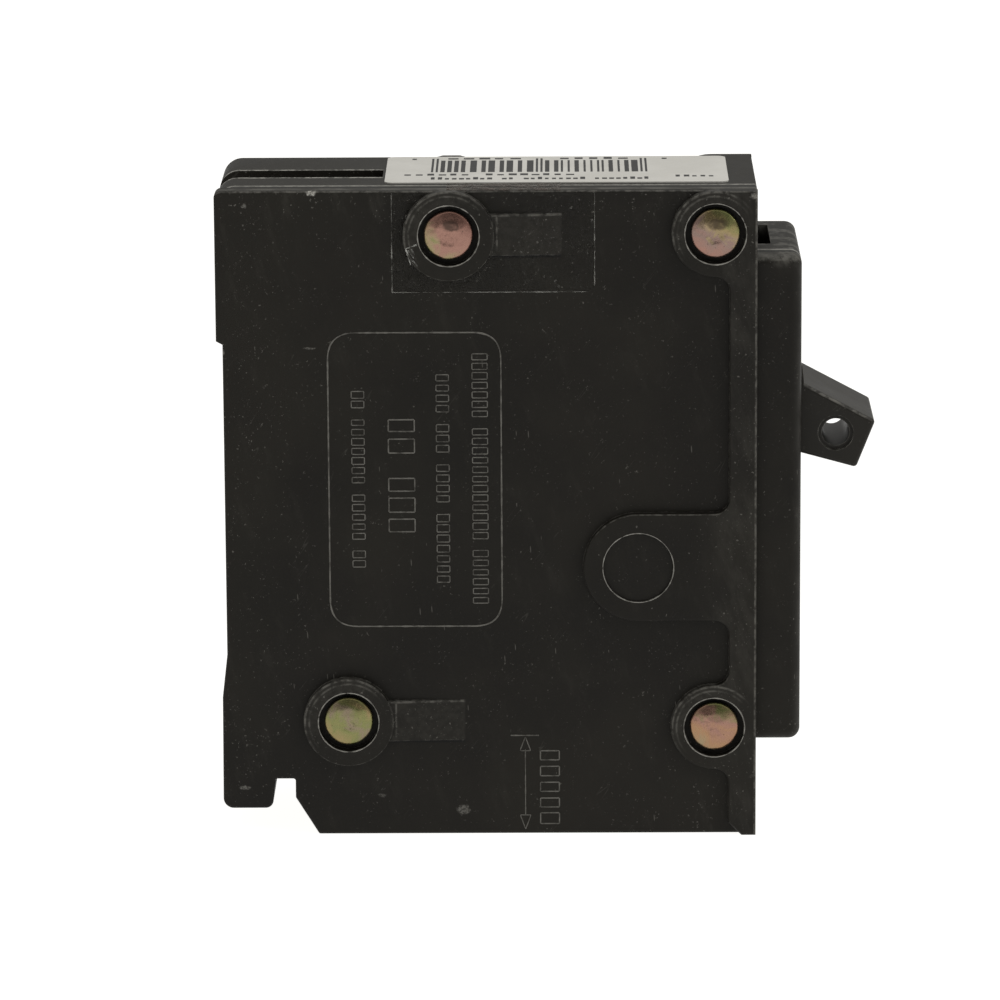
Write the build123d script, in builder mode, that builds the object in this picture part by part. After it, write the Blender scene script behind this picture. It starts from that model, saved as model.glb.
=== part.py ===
from build123d import *
from math import cos, radians, sin
import os

# A single-pole plug-in branch circuit breaker, one inch wide.
#
# Frame, in millimetres: the breaker stands on its load end, with +Z towards
# the line end, +X towards the handle, and Y across its one-inch width. The
# origin is in the middle of the load-end face. The handle is modelled OFF.

# ---------------------------------------------------------------- case sizes
case_depth = 62.1        # front face to the back of the line-end block
case_height = 76.2       # load end to line end
case_width = 25.0        # over the raised pads on both sides
front = case_depth / 2   # x of the main front face
pad_height = 1.1         # raised pads above the side faces
side_face = case_width / 2 - pad_height
parting = -8.9           # y of the joint between base and cover
wall = 1.8
floor_thickness = 2.2    # broad walls of base and cover
inside = side_face - floor_thickness
edge_round = 0.3

# Escutcheon: the raised block that stands in the panel's dead front.
escutcheon_out = 5.15
escutcheon_low = 11.1
escutcheon_high = 68.6
escutcheon_half = 11.0
escutcheon_wall = 2.0
vent_depth = 1.6         # slot in each end of the escutcheon
vent_width = 12.0
vent_centre_y = 1.6

# Case rivets, as (setback from the front face, height).
rivet_line_back = (35.3, 71.1)
rivet_line_front = (4.8, 71.2)
rivet_load_front = (4.85, 13.0)
rivet_load_back = (47.3, 13.75)
rivet_places = [rivet_line_back, rivet_line_front, rivet_load_front, rivet_load_back]
rivet_shank_r = 1.95
rivet_hole_r = 2.05
rivet_head_r = 2.75
rivet_head_rise = 1.35
rivet_well_r = 3.52
rivet_well_floor = 11.0  # |y| of the face that each head sits on
column_r = 3.4

# Pads on the two broad sides.
front_pad_r = 5.0
back_pad_r = 5.2
strip_width = 3.15
boss_r = 6.35
boss_centre = (13.65, 32.1)
knockout_r = 4.1
knockout_depth = 0.35
tab_height = 1.0         # at the rivet, falling to nothing at the free end
tab_width = 4.75
tabs = [(rivet_line_back, 12.9), (rivet_load_back, 13.5)]  # rivet, and reach in front of it

# Plug-on slot for the panel's bus stab.
stab_slot_half = 2.3
stab_slot_setback = 43.0
stab_slot_low = 58.6

# ------------------------------------------------------------------- handle
handle_setback = 5.0
handle_z = 52.4
off_angle = -21.7        # lever angle from horizontal when OFF
handle_half = 6.5
skirt_r = 10.6
skirt_wall = 1.6
skirt_half_angle = 78.0
web_thickness = 1.5
trunnion_r = 2.2
trunnion_end = 8.6
running_gap = 0.05       # radial clearance of a shaft in its hole
bearing_face = 7.0       # |y| of the bearing bosses' faces
lever_root_half = 4.1    # half height of the lever where it leaves the skirt
lever_tip_half = 2.99
lever_tip_r = 19.16
tie_hole_r = 1.6
tie_hole_from_pivot = 15.4
opening_half = 8.6       # half length of the handle's opening
opening_half_y = 6.85

# -------------------------------------------------------------- contact arm
arm_pivot_r = 7.0        # arm pivot's distance from the handle's pivot
arm_off_angle = 186.0
arm_thickness = 1.6
arm_half = 4.6
fork_half = 2.4
fork_depth = 11.0
ear_r = 1.0
arm_knee = 20.0
arm_tip = 9.0
tip_bend = 22.5          # makes the contact faces meet flat when ON
arm_tip_half = 3.2
contact_from_knee = 5.5
contact_r = 2.2
contact_rise = 1.0
spring_hook_on_arm = 13.5

# ------------------------------------------------- cradle and toggle spring
cradle_pivot = (16.0, 66.5)
cradle_half = 0.8
cradle_band = 3.4
cradle_pin_r = 1.5
cradle_hook = (8.9, 52.2)
hook_hole_r = 0.7
spring_coil_r = 1.45
spring_wire_r = 0.28

# --------------------------------------------------------------- trip group
armature_pivot = (49.5, 32.1)
armature_tip = 24.5      # setback of its free end
plate_thickness = 1.2
armature_half = 5.2
latch_setback = 28.35    # wall of the latch window that holds the nose
bimetal_top = 27.0
bimetal_thickness = 1.0
bimetal_half = 3.5

# ---------------------------------------------------------- line and load
fixed_contact_z = 59.35
strap_thickness = 1.2
screw_z = 5.7
screw_shank_r = 2.35
screw_head_r = 3.6
screw_head_setback = 3.0
screw_head_height = 2.6
screw_end_setback = 21.5
driver_hole_r = 4.0
terminal_setback = 15.5  # clamping face of the load strap
wire_hole_half = 7.8
wire_hole_setbacks = (8.6, 15.2)

os.makedirs("parts", exist_ok=True)


def at(setback, z):
    """A point of a side view, from its setback behind the front face."""
    return (front - setback, z)


def side(y):
    """A side-view plane at y. Extruding from it goes towards -Y."""
    return Plane.XZ.offset(-y)


def tilted(setback, z, angle, y=0.0):
    """A side-view plane at y, turned by angle about a point. Extrudes towards -Y."""
    x_axis = (cos(radians(angle)), 0, sin(radians(angle)))
    return Plane(origin=(front - setback, y, z), x_dir=x_axis, z_dir=(0, -1, 0))


def save(piece, name):
    piece.label = name
    export_step(piece, f"parts/{name}.step")


def band(points, width, bend):
    """Side view of a strip of even width that follows points with rounded bends."""
    with BuildSketch() as strip:
        with BuildLine():
            FilletPolyline(*points, radius=bend)
            offset(amount=width / 2, side=Side.BOTH)
        make_face()
    return strip.sketch


def case_face(line_corner_r):
    """Side view of the case, with the line-end back corner's radius given."""
    foot_round = 1.2
    foot_inner_round = 0.9
    notch_round = 0.3
    corners = [
        (0, case_height, edge_round),
        (0, 0, edge_round),
        (50.9, 0, edge_round),
        (53.6, 4.4, notch_round),
        (53.6, 6.67, notch_round),
        (55.95, 6.67, notch_round),
        (56.3, 3.14, foot_inner_round),
        (62.05, 3.14, foot_round),
        (61.95, 16.5, 0),
        (61.35, 21.6, 0),
        (61.35, 58.3, 0),
        (case_depth, 58.7, 0),
        (case_depth, case_height, line_corner_r),
    ]
    with BuildSketch() as face:
        with BuildLine():
            Polyline(*[at(setback, z) for setback, z, _ in corners], close=True)
        make_face()
        for setback, z, radius in corners:
            if radius:
                fillet(face.vertices().sort_by_distance((*at(setback, z), 0))[0], radius)
    return face.sketch


def cavity_face():
    """Side view of the hollow inside the case and the escutcheon."""
    with BuildSketch() as face:
        with BuildLine():
            Polyline(
                at(wall, case_height - wall), at(wall, wall), at(49.6, wall), at(52.0, 8.8),
                at(59.6, 8.8), at(59.6, case_height - wall), close=True,
            )
        make_face()
        low = escutcheon_low + escutcheon_wall
        high = escutcheon_high - escutcheon_wall
        with Locations((front + (escutcheon_out - escutcheon_wall - 3) / 2, (low + high) / 2)):
            Rectangle(escutcheon_out - escutcheon_wall + 3, high - low)
    return face.sketch


def escutcheon_face():
    corner_round = 1.3
    root = 1.0
    with BuildSketch() as face:
        with Locations((front + (escutcheon_out - root) / 2, (escutcheon_low + escutcheon_high) / 2)):
            Rectangle(escutcheon_out + root, escutcheon_high - escutcheon_low)
        fillet(face.vertices().group_by(Axis.X)[-1], corner_round)
    return face.sketch


def pad_face():
    """Side view of the pads round the rivets, the front strip and the boss."""
    web_round = 1.7
    with BuildSketch() as face:
        with Locations(at(*rivet_line_front), at(*rivet_load_front)):
            Circle(front_pad_r)
        with Locations(at(*rivet_line_back), at(*rivet_load_back)):
            Circle(back_pad_r)
        with Locations(at(strip_width / 2, case_height / 2)):
            Rectangle(strip_width, case_height)
        with Locations(at(rivet_line_front[0] / 2, (rivet_line_front[1] + case_height) / 2)):
            Rectangle(rivet_line_front[0], case_height - rivet_line_front[1])
        with Locations(at(*boss_centre)):
            Circle(boss_r)
        with Locations(at(boss_centre[0] / 2, boss_centre[1])):
            Rectangle(boss_centre[0], 2 * boss_r)
        with Locations(at(case_depth / 2, case_height / 2)):
            Rectangle(case_depth, case_height, mode=Mode.INTERSECT)
        inner = [
            v for v in face.vertices()
            if abs(v.X - (front - strip_width)) < 0.01 and wall < v.Y < rivet_line_front[1]
        ]
        fillet(inner, web_round)
        foot = face.vertices().sort_by_distance((*at(strip_width, 0), 0))[0]
        chamfer(foot, 1.5)
    return face.sketch


def tab_wedge(place, reach, outward):
    """Plan of a tab that ramps down from a back rivet to the side face in front of it."""
    setback, _ = place
    root_y = outward * (side_face - edge_round)
    with BuildSketch() as face:
        with BuildLine():
            Polyline(
                (front - setback, root_y), (front - setback, outward * (side_face + tab_height)),
                (front - setback + reach, outward * side_face), (front - setback + reach, root_y),
                close=True,
            )
        make_face()
    return face.sketch


rivet_points = [at(*place) for place in rivet_places]


# -------------------------------------------------------------- base shell
cradle_boss_face = cradle_half + 0.4
cradle_boss_r = 3.0
bearing_boss_r = 4.2

with BuildPart() as base_shell:
    with BuildSketch(side(side_face)):
        add(case_face(2.3))
    extrude(amount=side_face - parting)
    outer_rim = base_shell.faces().sort_by(Axis.Y)[-1].edges()
    fillet(outer_rim, edge_round)
    with BuildSketch(side(escutcheon_half)):
        add(escutcheon_face())
    extrude(amount=escutcheon_half - parting)
    escutcheon_rim = (
        base_shell.edges().filter_by_position(Axis.Y, escutcheon_half - 0.01, escutcheon_half + 0.01)
        .filter_by_position(Axis.X, front + 0.1, front + escutcheon_out + 1)
    )
    fillet(escutcheon_rim, 1.0)
    with BuildSketch(side(case_width / 2)):
        add(pad_face())
    extrude(amount=pad_height + edge_round)
    pad_rim = base_shell.faces().sort_by(Axis.Y)[-1].edges()
    fillet(pad_rim, 0.25)
    for place, reach in tabs:
        with BuildSketch(Plane.XY.offset(place[1] - tab_width / 2)):
            add(tab_wedge(place, reach, 1))
        extrude(amount=tab_width)
    # hollow inside
    with BuildSketch(side(inside)):
        add(cavity_face())
    extrude(amount=inside - parting, mode=Mode.SUBTRACT)
    # rivet columns, cradle pin boss and handle bearing
    with BuildSketch(side(inside + 0.1)):
        with Locations(*rivet_points):
            Circle(column_r)
    extrude(amount=inside + 0.1 - parting)
    with BuildSketch(side(inside + 0.1)):
        with Locations(at(*cradle_pivot)):
            Circle(cradle_boss_r)
    extrude(amount=inside + 0.1 - cradle_boss_face)
    with BuildSketch(side(inside + 0.1)):
        with Locations(at(handle_setback, handle_z)):
            Circle(bearing_boss_r)
    extrude(amount=inside + 0.1 - bearing_face)
    with BuildSketch(side(inside)):
        with Locations(at(handle_setback, handle_z)):
            Circle(trunnion_r + running_gap)
        with Locations(at(*cradle_pivot)):
            Circle(cradle_pin_r + 0.02)
    extrude(amount=inside, mode=Mode.SUBTRACT)
    # rivet holes, the wells their heads sit in, and the shallow round recess
    with BuildSketch(side(case_width)):
        with Locations(*rivet_points):
            Circle(rivet_hole_r)
    extrude(amount=2 * case_width, mode=Mode.SUBTRACT)
    with BuildSketch(side(rivet_well_floor)):
        with Locations(*rivet_points):
            Circle(rivet_well_r)
    extrude(amount=-wall, mode=Mode.SUBTRACT)
    with BuildSketch(side(case_width / 2 - knockout_depth)):
        with Locations(at(*boss_centre)):
            Circle(knockout_r)
    extrude(amount=-wall, mode=Mode.SUBTRACT)
    # slot for the bus stab, through the back and line-end walls
    with BuildSketch(side(stab_slot_half)):
        with Locations(at((case_depth + 1 + stab_slot_setback) / 2, (case_height + 1 + stab_slot_low) / 2)):
            Rectangle(case_depth + 1 - stab_slot_setback, case_height + 1 - stab_slot_low)
    extrude(amount=2 * stab_slot_half, mode=Mode.SUBTRACT)
    # opening for the handle in the escutcheon's front
    with BuildSketch(side(opening_half_y)):
        with Locations((front + escutcheon_out, handle_z)):
            Rectangle(2 * escutcheon_wall + 1, 2 * opening_half)
    extrude(amount=2 * opening_half_y, mode=Mode.SUBTRACT)
    # slots in the escutcheon's two ends
    for end_z in (escutcheon_low, escutcheon_high):
        with BuildSketch(side(vent_centre_y + vent_width / 2)):
            with Locations((front + 0.15 + vent_depth / 2, end_z)):
                Rectangle(vent_depth, 2 * escutcheon_wall + 1)
        extrude(amount=vent_width, mode=Mode.SUBTRACT)
    # wire entry in the load end, and the screwdriver hole in the front
    wire_hole_length = wire_hole_setbacks[1] - wire_hole_setbacks[0]
    with BuildSketch(Plane.XY.offset(-1)):
        with Locations((front - sum(wire_hole_setbacks) / 2, 0)):
            RectangleRounded(wire_hole_length, 2 * wire_hole_half, 2.0)
    extrude(amount=wall + 1.5, mode=Mode.SUBTRACT)
    with BuildSketch(Plane.YZ.offset(front - wall - 0.5)):
        with Locations((0, screw_z)):
            Circle(driver_hole_r)
    extrude(amount=wall + 1, mode=Mode.SUBTRACT)
save(base_shell.part, "base_shell")

# ------------------------------------------------------------- cover shell
lip_gap = 0.15
lip_wall = 1.2
lip_reach = 1.4
lip_outer = offset(cavity_face(), amount=-lip_gap, kind=Kind.INTERSECTION)
lip_inner = offset(cavity_face(), amount=-lip_gap - lip_wall, kind=Kind.INTERSECTION)

with BuildPart() as cover_shell:
    with BuildSketch(side(parting)):
        add(case_face(0.8))
    extrude(amount=side_face + parting)
    outer_rim = cover_shell.faces().sort_by(Axis.Y)[0].edges()
    fillet(outer_rim, edge_round)
    with BuildSketch(side(parting)):
        add(escutcheon_face())
    extrude(amount=escutcheon_half + parting)
    escutcheon_rim = (
        cover_shell.edges().filter_by_position(Axis.Y, -escutcheon_half - 0.01, -escutcheon_half + 0.01)
        .filter_by_position(Axis.X, front + 0.1, front + escutcheon_out + 1)
    )
    fillet(escutcheon_rim, 1.2)
    with BuildSketch(side(-side_face + edge_round)):
        add(pad_face())
    extrude(amount=pad_height + edge_round)
    pad_rim = cover_shell.faces().sort_by(Axis.Y)[0].edges()
    fillet(pad_rim, 0.25)
    for place, reach in tabs:
        with BuildSketch(Plane.XY.offset(place[1] - tab_width / 2)):
            add(tab_wedge(place, reach, -1))
        extrude(amount=tab_width)
    # hollow inside, with a locating lip that enters the base
    with BuildSketch(side(parting)):
        add(cavity_face())
    extrude(amount=inside + parting, mode=Mode.SUBTRACT)
    with BuildSketch(side(parting + lip_reach)):
        add(lip_outer)
        add(lip_inner, mode=Mode.SUBTRACT)
        with Locations(*rivet_points):
            Circle(column_r + lip_gap, mode=Mode.SUBTRACT)
        with Locations((front, handle_z)):
            Rectangle(2 * (handle_setback + skirt_r), 3 * skirt_r, mode=Mode.SUBTRACT)
        with Locations(at(10.0, 0)):
            Rectangle(24.0, 36.0, mode=Mode.SUBTRACT)
    extrude(amount=lip_reach + inside + parting + 0.1)
    with BuildSketch(side(-cradle_boss_face)):
        with Locations(at(*cradle_pivot)):
            Circle(cradle_boss_r)
    extrude(amount=inside + 0.1 - cradle_boss_face)
    with BuildSketch(side(-bearing_face)):
        with Locations(at(handle_setback, handle_z)):
            Circle(bearing_boss_r)
    extrude(amount=inside + 0.1 - bearing_face)
    with BuildSketch(side(0)):
        with Locations(at(handle_setback, handle_z)):
            Circle(trunnion_r + running_gap)
        with Locations(at(*cradle_pivot)):
            Circle(cradle_pin_r + 0.02)
    extrude(amount=inside, mode=Mode.SUBTRACT)
    # rivet holes, the wells their heads sit in, and the shallow round recess
    with BuildSketch(side(case_width)):
        with Locations(*rivet_points):
            Circle(rivet_hole_r)
    extrude(amount=2 * case_width, mode=Mode.SUBTRACT)
    with BuildSketch(side(-rivet_well_floor)):
        with Locations(*rivet_points):
            Circle(rivet_well_r)
    extrude(amount=wall, mode=Mode.SUBTRACT)
    with BuildSketch(side(-case_width / 2 + knockout_depth)):
        with Locations(at(*boss_centre)):
            Circle(knockout_r)
    extrude(amount=wall, mode=Mode.SUBTRACT)
save(cover_shell.part, "cover_shell")

# ------------------------------------------------------------- case rivets
with BuildPart(mode=Mode.PRIVATE) as rivet:
    with BuildSketch(Plane.XY):
        with BuildLine():
            Polyline((0, 0), (0, rivet_well_floor + rivet_head_rise))
            ThreePointArc(
                (0, rivet_well_floor + rivet_head_rise),
                (rivet_head_r * 0.62, rivet_well_floor + rivet_head_rise * 0.80),
                (rivet_head_r, rivet_well_floor + 0.35),
            )
            Polyline(
                (rivet_head_r, rivet_well_floor + 0.35), (rivet_head_r, rivet_well_floor),
                (rivet_shank_r, rivet_well_floor), (rivet_shank_r, 0), (0, 0),
            )
        make_face()
    revolve(axis=Axis.Y)
    mirror(about=Plane.XZ)

with BuildPart() as case_rivets:
    with Locations(*[(front - setback, 0, z) for setback, z in rivet_places]):
        add(rivet.part)
save(case_rivets.part, "case_rivets")


# ------------------------------------------------------------------ handle
def lever_plane(y):
    return tilted(handle_setback, handle_z, off_angle, y)


ear_bore_r = ear_r + 0.06
root_r = skirt_r - skirt_wall + 0.2

with BuildPart() as handle:
    with BuildSketch(lever_plane(handle_half)):
        with BuildLine():
            Polyline(
                (root_r, lever_root_half), (lever_tip_r, lever_tip_half),
                (lever_tip_r, -lever_tip_half), (root_r, -lever_root_half), close=True,
            )
        make_face()
    extrude(amount=2 * handle_half)
    root_face = handle.faces().sort_by_distance(
        (front - handle_setback, 0, handle_z)
    )[0]
    root_edges = root_face.edges()
    lever_edges = [e for e in handle.edges() if not any(e.is_same(r) for r in root_edges)]
    fillet(lever_edges, 0.45)
    with BuildSketch(lever_plane(handle_half)):
        Circle(skirt_r)
        Circle(skirt_r - skirt_wall, mode=Mode.SUBTRACT)
        reach = 2 * skirt_r
        edge_x = reach * cos(radians(skirt_half_angle))
        edge_y = reach * sin(radians(skirt_half_angle))
        with BuildLine():
            Polyline(
                (0, 0), (edge_x, edge_y), (reach, edge_y), (reach, -edge_y),
                (edge_x, -edge_y), close=True,
            )
        make_face(mode=Mode.INTERSECT)
    extrude(amount=2 * handle_half)
    for y_start in (handle_half, -handle_half + web_thickness):
        with BuildSketch(lever_plane(y_start)):
            Circle(skirt_r - skirt_wall + 0.1)
        extrude(amount=web_thickness)
    for y_start in (trunnion_end, -handle_half + 0.1):
        with BuildSketch(lever_plane(y_start)):
            Circle(trunnion_r)
        extrude(amount=trunnion_end - handle_half + 0.1)
    with BuildSketch(lever_plane(handle_half)):
        with Locations((-arm_pivot_r, 0)):
            Circle(ear_bore_r)
        with Locations((tie_hole_from_pivot, 0)):
            Circle(tie_hole_r)
    extrude(amount=2 * handle_half, mode=Mode.SUBTRACT)
    with BuildSketch(lever_plane(handle_half)):
        with Locations((tie_hole_from_pivot, 0)):
            Circle(tie_hole_r + 0.45)
    extrude(amount=0.45, mode=Mode.SUBTRACT)
    with BuildSketch(lever_plane(-handle_half + 0.45)):
        with Locations((tie_hole_from_pivot, 0)):
            Circle(tie_hole_r + 0.45)
    extrude(amount=0.45, mode=Mode.SUBTRACT)
save(handle.part, "handle")

# ------------------------------------------------------------- contact arm
arm_origin = (
    handle_setback + arm_pivot_r * cos(radians(off_angle)),
    handle_z - arm_pivot_r * sin(radians(off_angle)),
)
arm_x = (cos(radians(arm_off_angle)), 0, sin(radians(arm_off_angle)))
arm_up = (sin(radians(arm_off_angle)), 0, -cos(radians(arm_off_angle)))
arm_centre = (front - arm_origin[0], 0, arm_origin[1])
tip_end = (arm_knee + arm_tip * cos(radians(tip_bend)), -arm_tip * sin(radians(tip_bend)))


def arm_plane(y):
    """The arm's own side view at y: x along the arm, y towards the fixed contact."""
    return Plane(origin=(arm_centre[0], y, arm_centre[2]), x_dir=arm_x, z_dir=(0, 1, 0))


with BuildPart() as contact_arm:
    with BuildSketch(arm_plane(-arm_half)):
        add(band([(0, 0), (arm_knee, 0), tip_end], arm_thickness, 3.0))
        Circle(1.6)
    extrude(amount=2 * arm_half)
    with BuildSketch(Plane(origin=arm_centre, x_dir=arm_x, z_dir=arm_up)):
        with Locations(((fork_depth + arm_knee) / 2, 0)):
            Rectangle(arm_knee - fork_depth, 2 * arm_half)
        for leg_sign in (1, -1):
            with Locations((fork_depth / 2 - 1.5, leg_sign * (arm_half + fork_half) / 2)):
                Rectangle(fork_depth + 3.2, arm_half - fork_half)
        with Locations((arm_knee + arm_tip / 2, 0)):
            Rectangle(arm_tip + 2, 2 * arm_tip_half)
        with Locations((spring_hook_on_arm, 0)):
            Circle(hook_hole_r, mode=Mode.SUBTRACT)
    extrude(amount=8, both=True, mode=Mode.INTERSECT)
    for y_start in (arm_half - 0.1, -handle_half + 0.1):
        with BuildSketch(arm_plane(y_start)):
            Circle(ear_r)
        extrude(amount=handle_half - arm_half)
save(contact_arm.part, "contact_arm")

tip_dir = Vector(*arm_x) * cos(radians(tip_bend)) - Vector(*arm_up) * sin(radians(tip_bend))
tip_up = Vector(*arm_up) * cos(radians(tip_bend)) + Vector(*arm_x) * sin(radians(tip_bend))
button_foot = (
    Vector(*arm_centre) + Vector(*arm_x) * arm_knee + tip_dir * contact_from_knee
    + tip_up * (arm_thickness / 2)
)

with BuildPart() as moving_contact:
    with BuildSketch(Plane(origin=button_foot, x_dir=tip_dir, z_dir=tip_up)):
        Circle(contact_r)
    extrude(amount=contact_rise)
    fillet(moving_contact.edges().sort_by(Axis.Z)[-1], 0.25)
save(moving_contact.part, "moving_contact")

# ------------------------------------------------------------------ cradle
with BuildPart() as cradle:
    with BuildSketch(side(cradle_half)):
        add(band(
            [at(*cradle_pivot), at(9.1, 53.6), at(9.7, 46.6), at(14.6, 40.4), at(26.0, 37.4)],
            cradle_band, 3.0,
        ))
        with Locations(at(*cradle_pivot)):
            Circle(3.2)
        with BuildLine():
            Polyline(
                at(24.6, 38.0), at(24.6, 35.8), at(26.7, 32.3), at(28.0, 32.3),
                at(28.3, 35.0), at(27.6, 38.0), close=True,
            )
        make_face()
        with Locations(at(*cradle_pivot)):
            Circle(cradle_pin_r + running_gap, mode=Mode.SUBTRACT)
        with Locations(at(*cradle_hook)):
            Circle(hook_hole_r, mode=Mode.SUBTRACT)
    extrude(amount=2 * cradle_half)
save(cradle.part, "cradle")

with BuildPart() as cradle_pin:
    with BuildSketch(side(inside - 0.1)):
        with Locations(at(*cradle_pivot)):
            Circle(cradle_pin_r)
    extrude(amount=2 * inside - 0.2)
save(cradle_pin.part, "cradle_pin")

# ----------------------------------------------------------- toggle spring
hook_from = Vector(front - cradle_hook[0], 0, cradle_hook[1])
hook_to = Vector(*arm_centre) + Vector(*arm_x) * spring_hook_on_arm
spring_axis = (hook_to - hook_from).normalized()
spring_span = (hook_to - hook_from).length
coil_start = 2.6
coil_length = spring_span - coil_start - 3.5
coil_turns = 12

with BuildPart() as toggle_spring:
    with BuildLine():
        coil = Helix(
            pitch=coil_length / coil_turns, height=coil_length, radius=spring_coil_r,
            center=hook_from + spring_axis * coil_start, direction=spring_axis,
        )
    with BuildSketch(Plane(origin=coil @ 0, z_dir=coil % 0)):
        Circle(spring_wire_r)
    sweep(path=coil, is_frenet=True)
save(toggle_spring.part, "toggle_spring")

# ------------------------------------------------- line side: clip and strap
jaw_low = 60.4
jaw_high = 73.4
jaw_bend = 46.2

with BuildPart() as line_clip:
    with BuildSketch(Plane.XY.offset(jaw_low)):
        add(band(
            [
                (front - 57.6, 2.1), (front - 55.2, 0.95), (front - 51.0, 2.2), (front - jaw_bend, 2.2),
                (front - jaw_bend, -2.2), (front - 51.0, -2.2), (front - 55.2, -0.95), (front - 57.6, -2.1),
            ],
            1.0, 0.8,
        ))
    extrude(amount=jaw_high - jaw_low)
save(line_clip.part, "line_clip")

with BuildPart() as clip_spring:
    with BuildSketch(Plane.XY.offset(jaw_low + 2.4)):
        add(band(
            [
                (front - 55.6, 2.05), (front - 51.0, 3.25), (front - 45.0, 3.25),
                (front - 45.0, -3.25), (front - 51.0, -3.25), (front - 55.6, -2.05),
            ],
            0.6, 0.9,
        ))
    extrude(amount=jaw_high - jaw_low - 4.4)
save(clip_spring.part, "clip_spring")

fixed_contact_setback = 35.5

with BuildPart() as line_conductor:
    strap_low = fixed_contact_z + contact_rise
    with BuildSketch(Plane.XY.offset(strap_low)):
        with Locations((front - (jaw_bend - 0.5 + 31.6) / 2, 0)):
            Rectangle(jaw_bend - 0.5 - 31.6, 8.0)
    extrude(amount=strap_thickness)
    fillet(line_conductor.edges().filter_by(Axis.Z).group_by(Axis.X)[-1], 1.5)
save(line_conductor.part, "line_conductor")

with BuildPart() as fixed_contact:
    with BuildSketch(Plane.XY.offset(fixed_contact_z)):
        with Locations((front - fixed_contact_setback, 0)):
            Circle(contact_r + 0.2)
    extrude(amount=contact_rise)
    fillet(fixed_contact.edges().sort_by(Axis.Z)[0], 0.25)
save(fixed_contact.part, "fixed_contact")

# --------------------------------------------------------------- arc chute
arc_plate_heights = [45.0, 48.0, 51.0, 54.0]
arc_setbacks = (42.2, 53.2)
arc_half = 6.3

with BuildPart() as arc_plates:
    for height in arc_plate_heights:
        with BuildSketch(Plane.XY.offset(height)):
            with Locations((front - sum(arc_setbacks) / 2, 0)):
                Rectangle(arc_setbacks[1] - arc_setbacks[0], 2 * arc_half)
            with BuildLine():
                Polyline(
                    (front - arc_setbacks[0] + 1, 3.6), (front - arc_setbacks[0] - 5.5, 0.9),
                    (front - arc_setbacks[0] - 5.5, -0.9), (front - arc_setbacks[0] + 1, -3.6), close=True,
                )
            make_face(mode=Mode.SUBTRACT)
        extrude(amount=1.0)
save(arc_plates.part, "arc_plates")

with BuildPart() as arc_liners:
    for y_start in (arc_half + 0.9, -arc_half - 0.1):
        with BuildSketch(side(y_start)):
            with Locations(at(sum(arc_setbacks) / 2, 50.0)):
                RectangleRounded(arc_setbacks[1] - arc_setbacks[0] + 1, 14.0, 1.0)
        extrude(amount=0.8)
save(arc_liners.part, "arc_liners")

# --------------------------------------------------------------- trip group
frame_ear_in = 6.2
frame_ear_out = 7.2
armature_bottom = armature_pivot[1] - plate_thickness / 2
armature_top = armature_pivot[1] + plate_thickness / 2
trunnion_hole_r = 0.96
armature_ear_r = 0.9

with BuildPart() as trip_frame:
    with BuildSketch(side(frame_ear_out)):
        with BuildLine():
            Polyline(
                at(46.6, bimetal_top), at(54.0, bimetal_top), at(54.0, 38.0), at(52.8, 38.0),
                at(52.8, bimetal_top + plate_thickness), at(46.6, bimetal_top + plate_thickness), close=True,
            )
        make_face()
    extrude(amount=2 * frame_ear_out)
    for y_start in (frame_ear_out, -frame_ear_in):
        with BuildSketch(side(y_start)):
            with Locations(at(50.3, (bimetal_top + 34.2) / 2)):
                RectangleRounded(7.4, 34.2 - bimetal_top, 0.8)
            with Locations(at(*armature_pivot)):
                Circle(trunnion_hole_r, mode=Mode.SUBTRACT)
        extrude(amount=frame_ear_out - frame_ear_in)
save(trip_frame.part, "trip_frame")

with BuildPart() as armature:
    with BuildSketch(side(armature_half)):
        with Locations(at((51.3 + armature_tip) / 2, armature_pivot[1])):
            Rectangle(51.3 - armature_tip, plate_thickness)
    extrude(amount=2 * armature_half)
    # latch window, with a ramp behind the face that holds the cradle's nose
    with BuildSketch(side(1.6)):
        with BuildLine():
            Polyline(
                at(25.6, armature_bottom - 1), at(25.6, armature_top + 1), at(30.9, armature_top + 1),
                at(29.7, armature_top), at(latch_setback, armature_top - 0.6),
                at(latch_setback, armature_bottom - 1), close=True,
            )
        make_face()
    extrude(amount=3.2, mode=Mode.SUBTRACT)
    for y_start in (frame_ear_out + 0.2, -armature_half + 0.1):
        with BuildSketch(side(y_start)):
            with Locations(at(*armature_pivot)):
                Circle(armature_ear_r)
        extrude(amount=frame_ear_out + 0.3 - armature_half)
    with BuildSketch(side(armature_half)):
        with Locations(at(*armature_pivot)):
            Circle(armature_ear_r)
    extrude(amount=2 * armature_half)
save(armature.part, "armature")

with BuildPart() as armature_spring:
    leaf = 0.3
    leaf_low = armature_top + leaf / 2
    with BuildSketch(side(2.5)):
        add(band([at(38.0, leaf_low), at(44.5, leaf_low), at(52.2, 36.6)], leaf, 1.5))
    extrude(amount=5.0)
save(armature_spring.part, "armature_spring")

with BuildPart() as bimetal:
    with BuildSketch(side(bimetal_half)):
        with Locations(at((52.4 + 17.0) / 2, bimetal_top - bimetal_thickness / 2)):
            Rectangle(52.4 - 17.0, bimetal_thickness)
    extrude(amount=2 * bimetal_half)
    fillet(bimetal.edges().filter_by(Axis.Z).group_by(Axis.X)[-1], 1.0)
save(bimetal.part, "bimetal")

yoke_low = bimetal_top - bimetal_thickness - plate_thickness
yoke_in = 4.4
yoke_out = 5.6
yoke_high = 29.3

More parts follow.
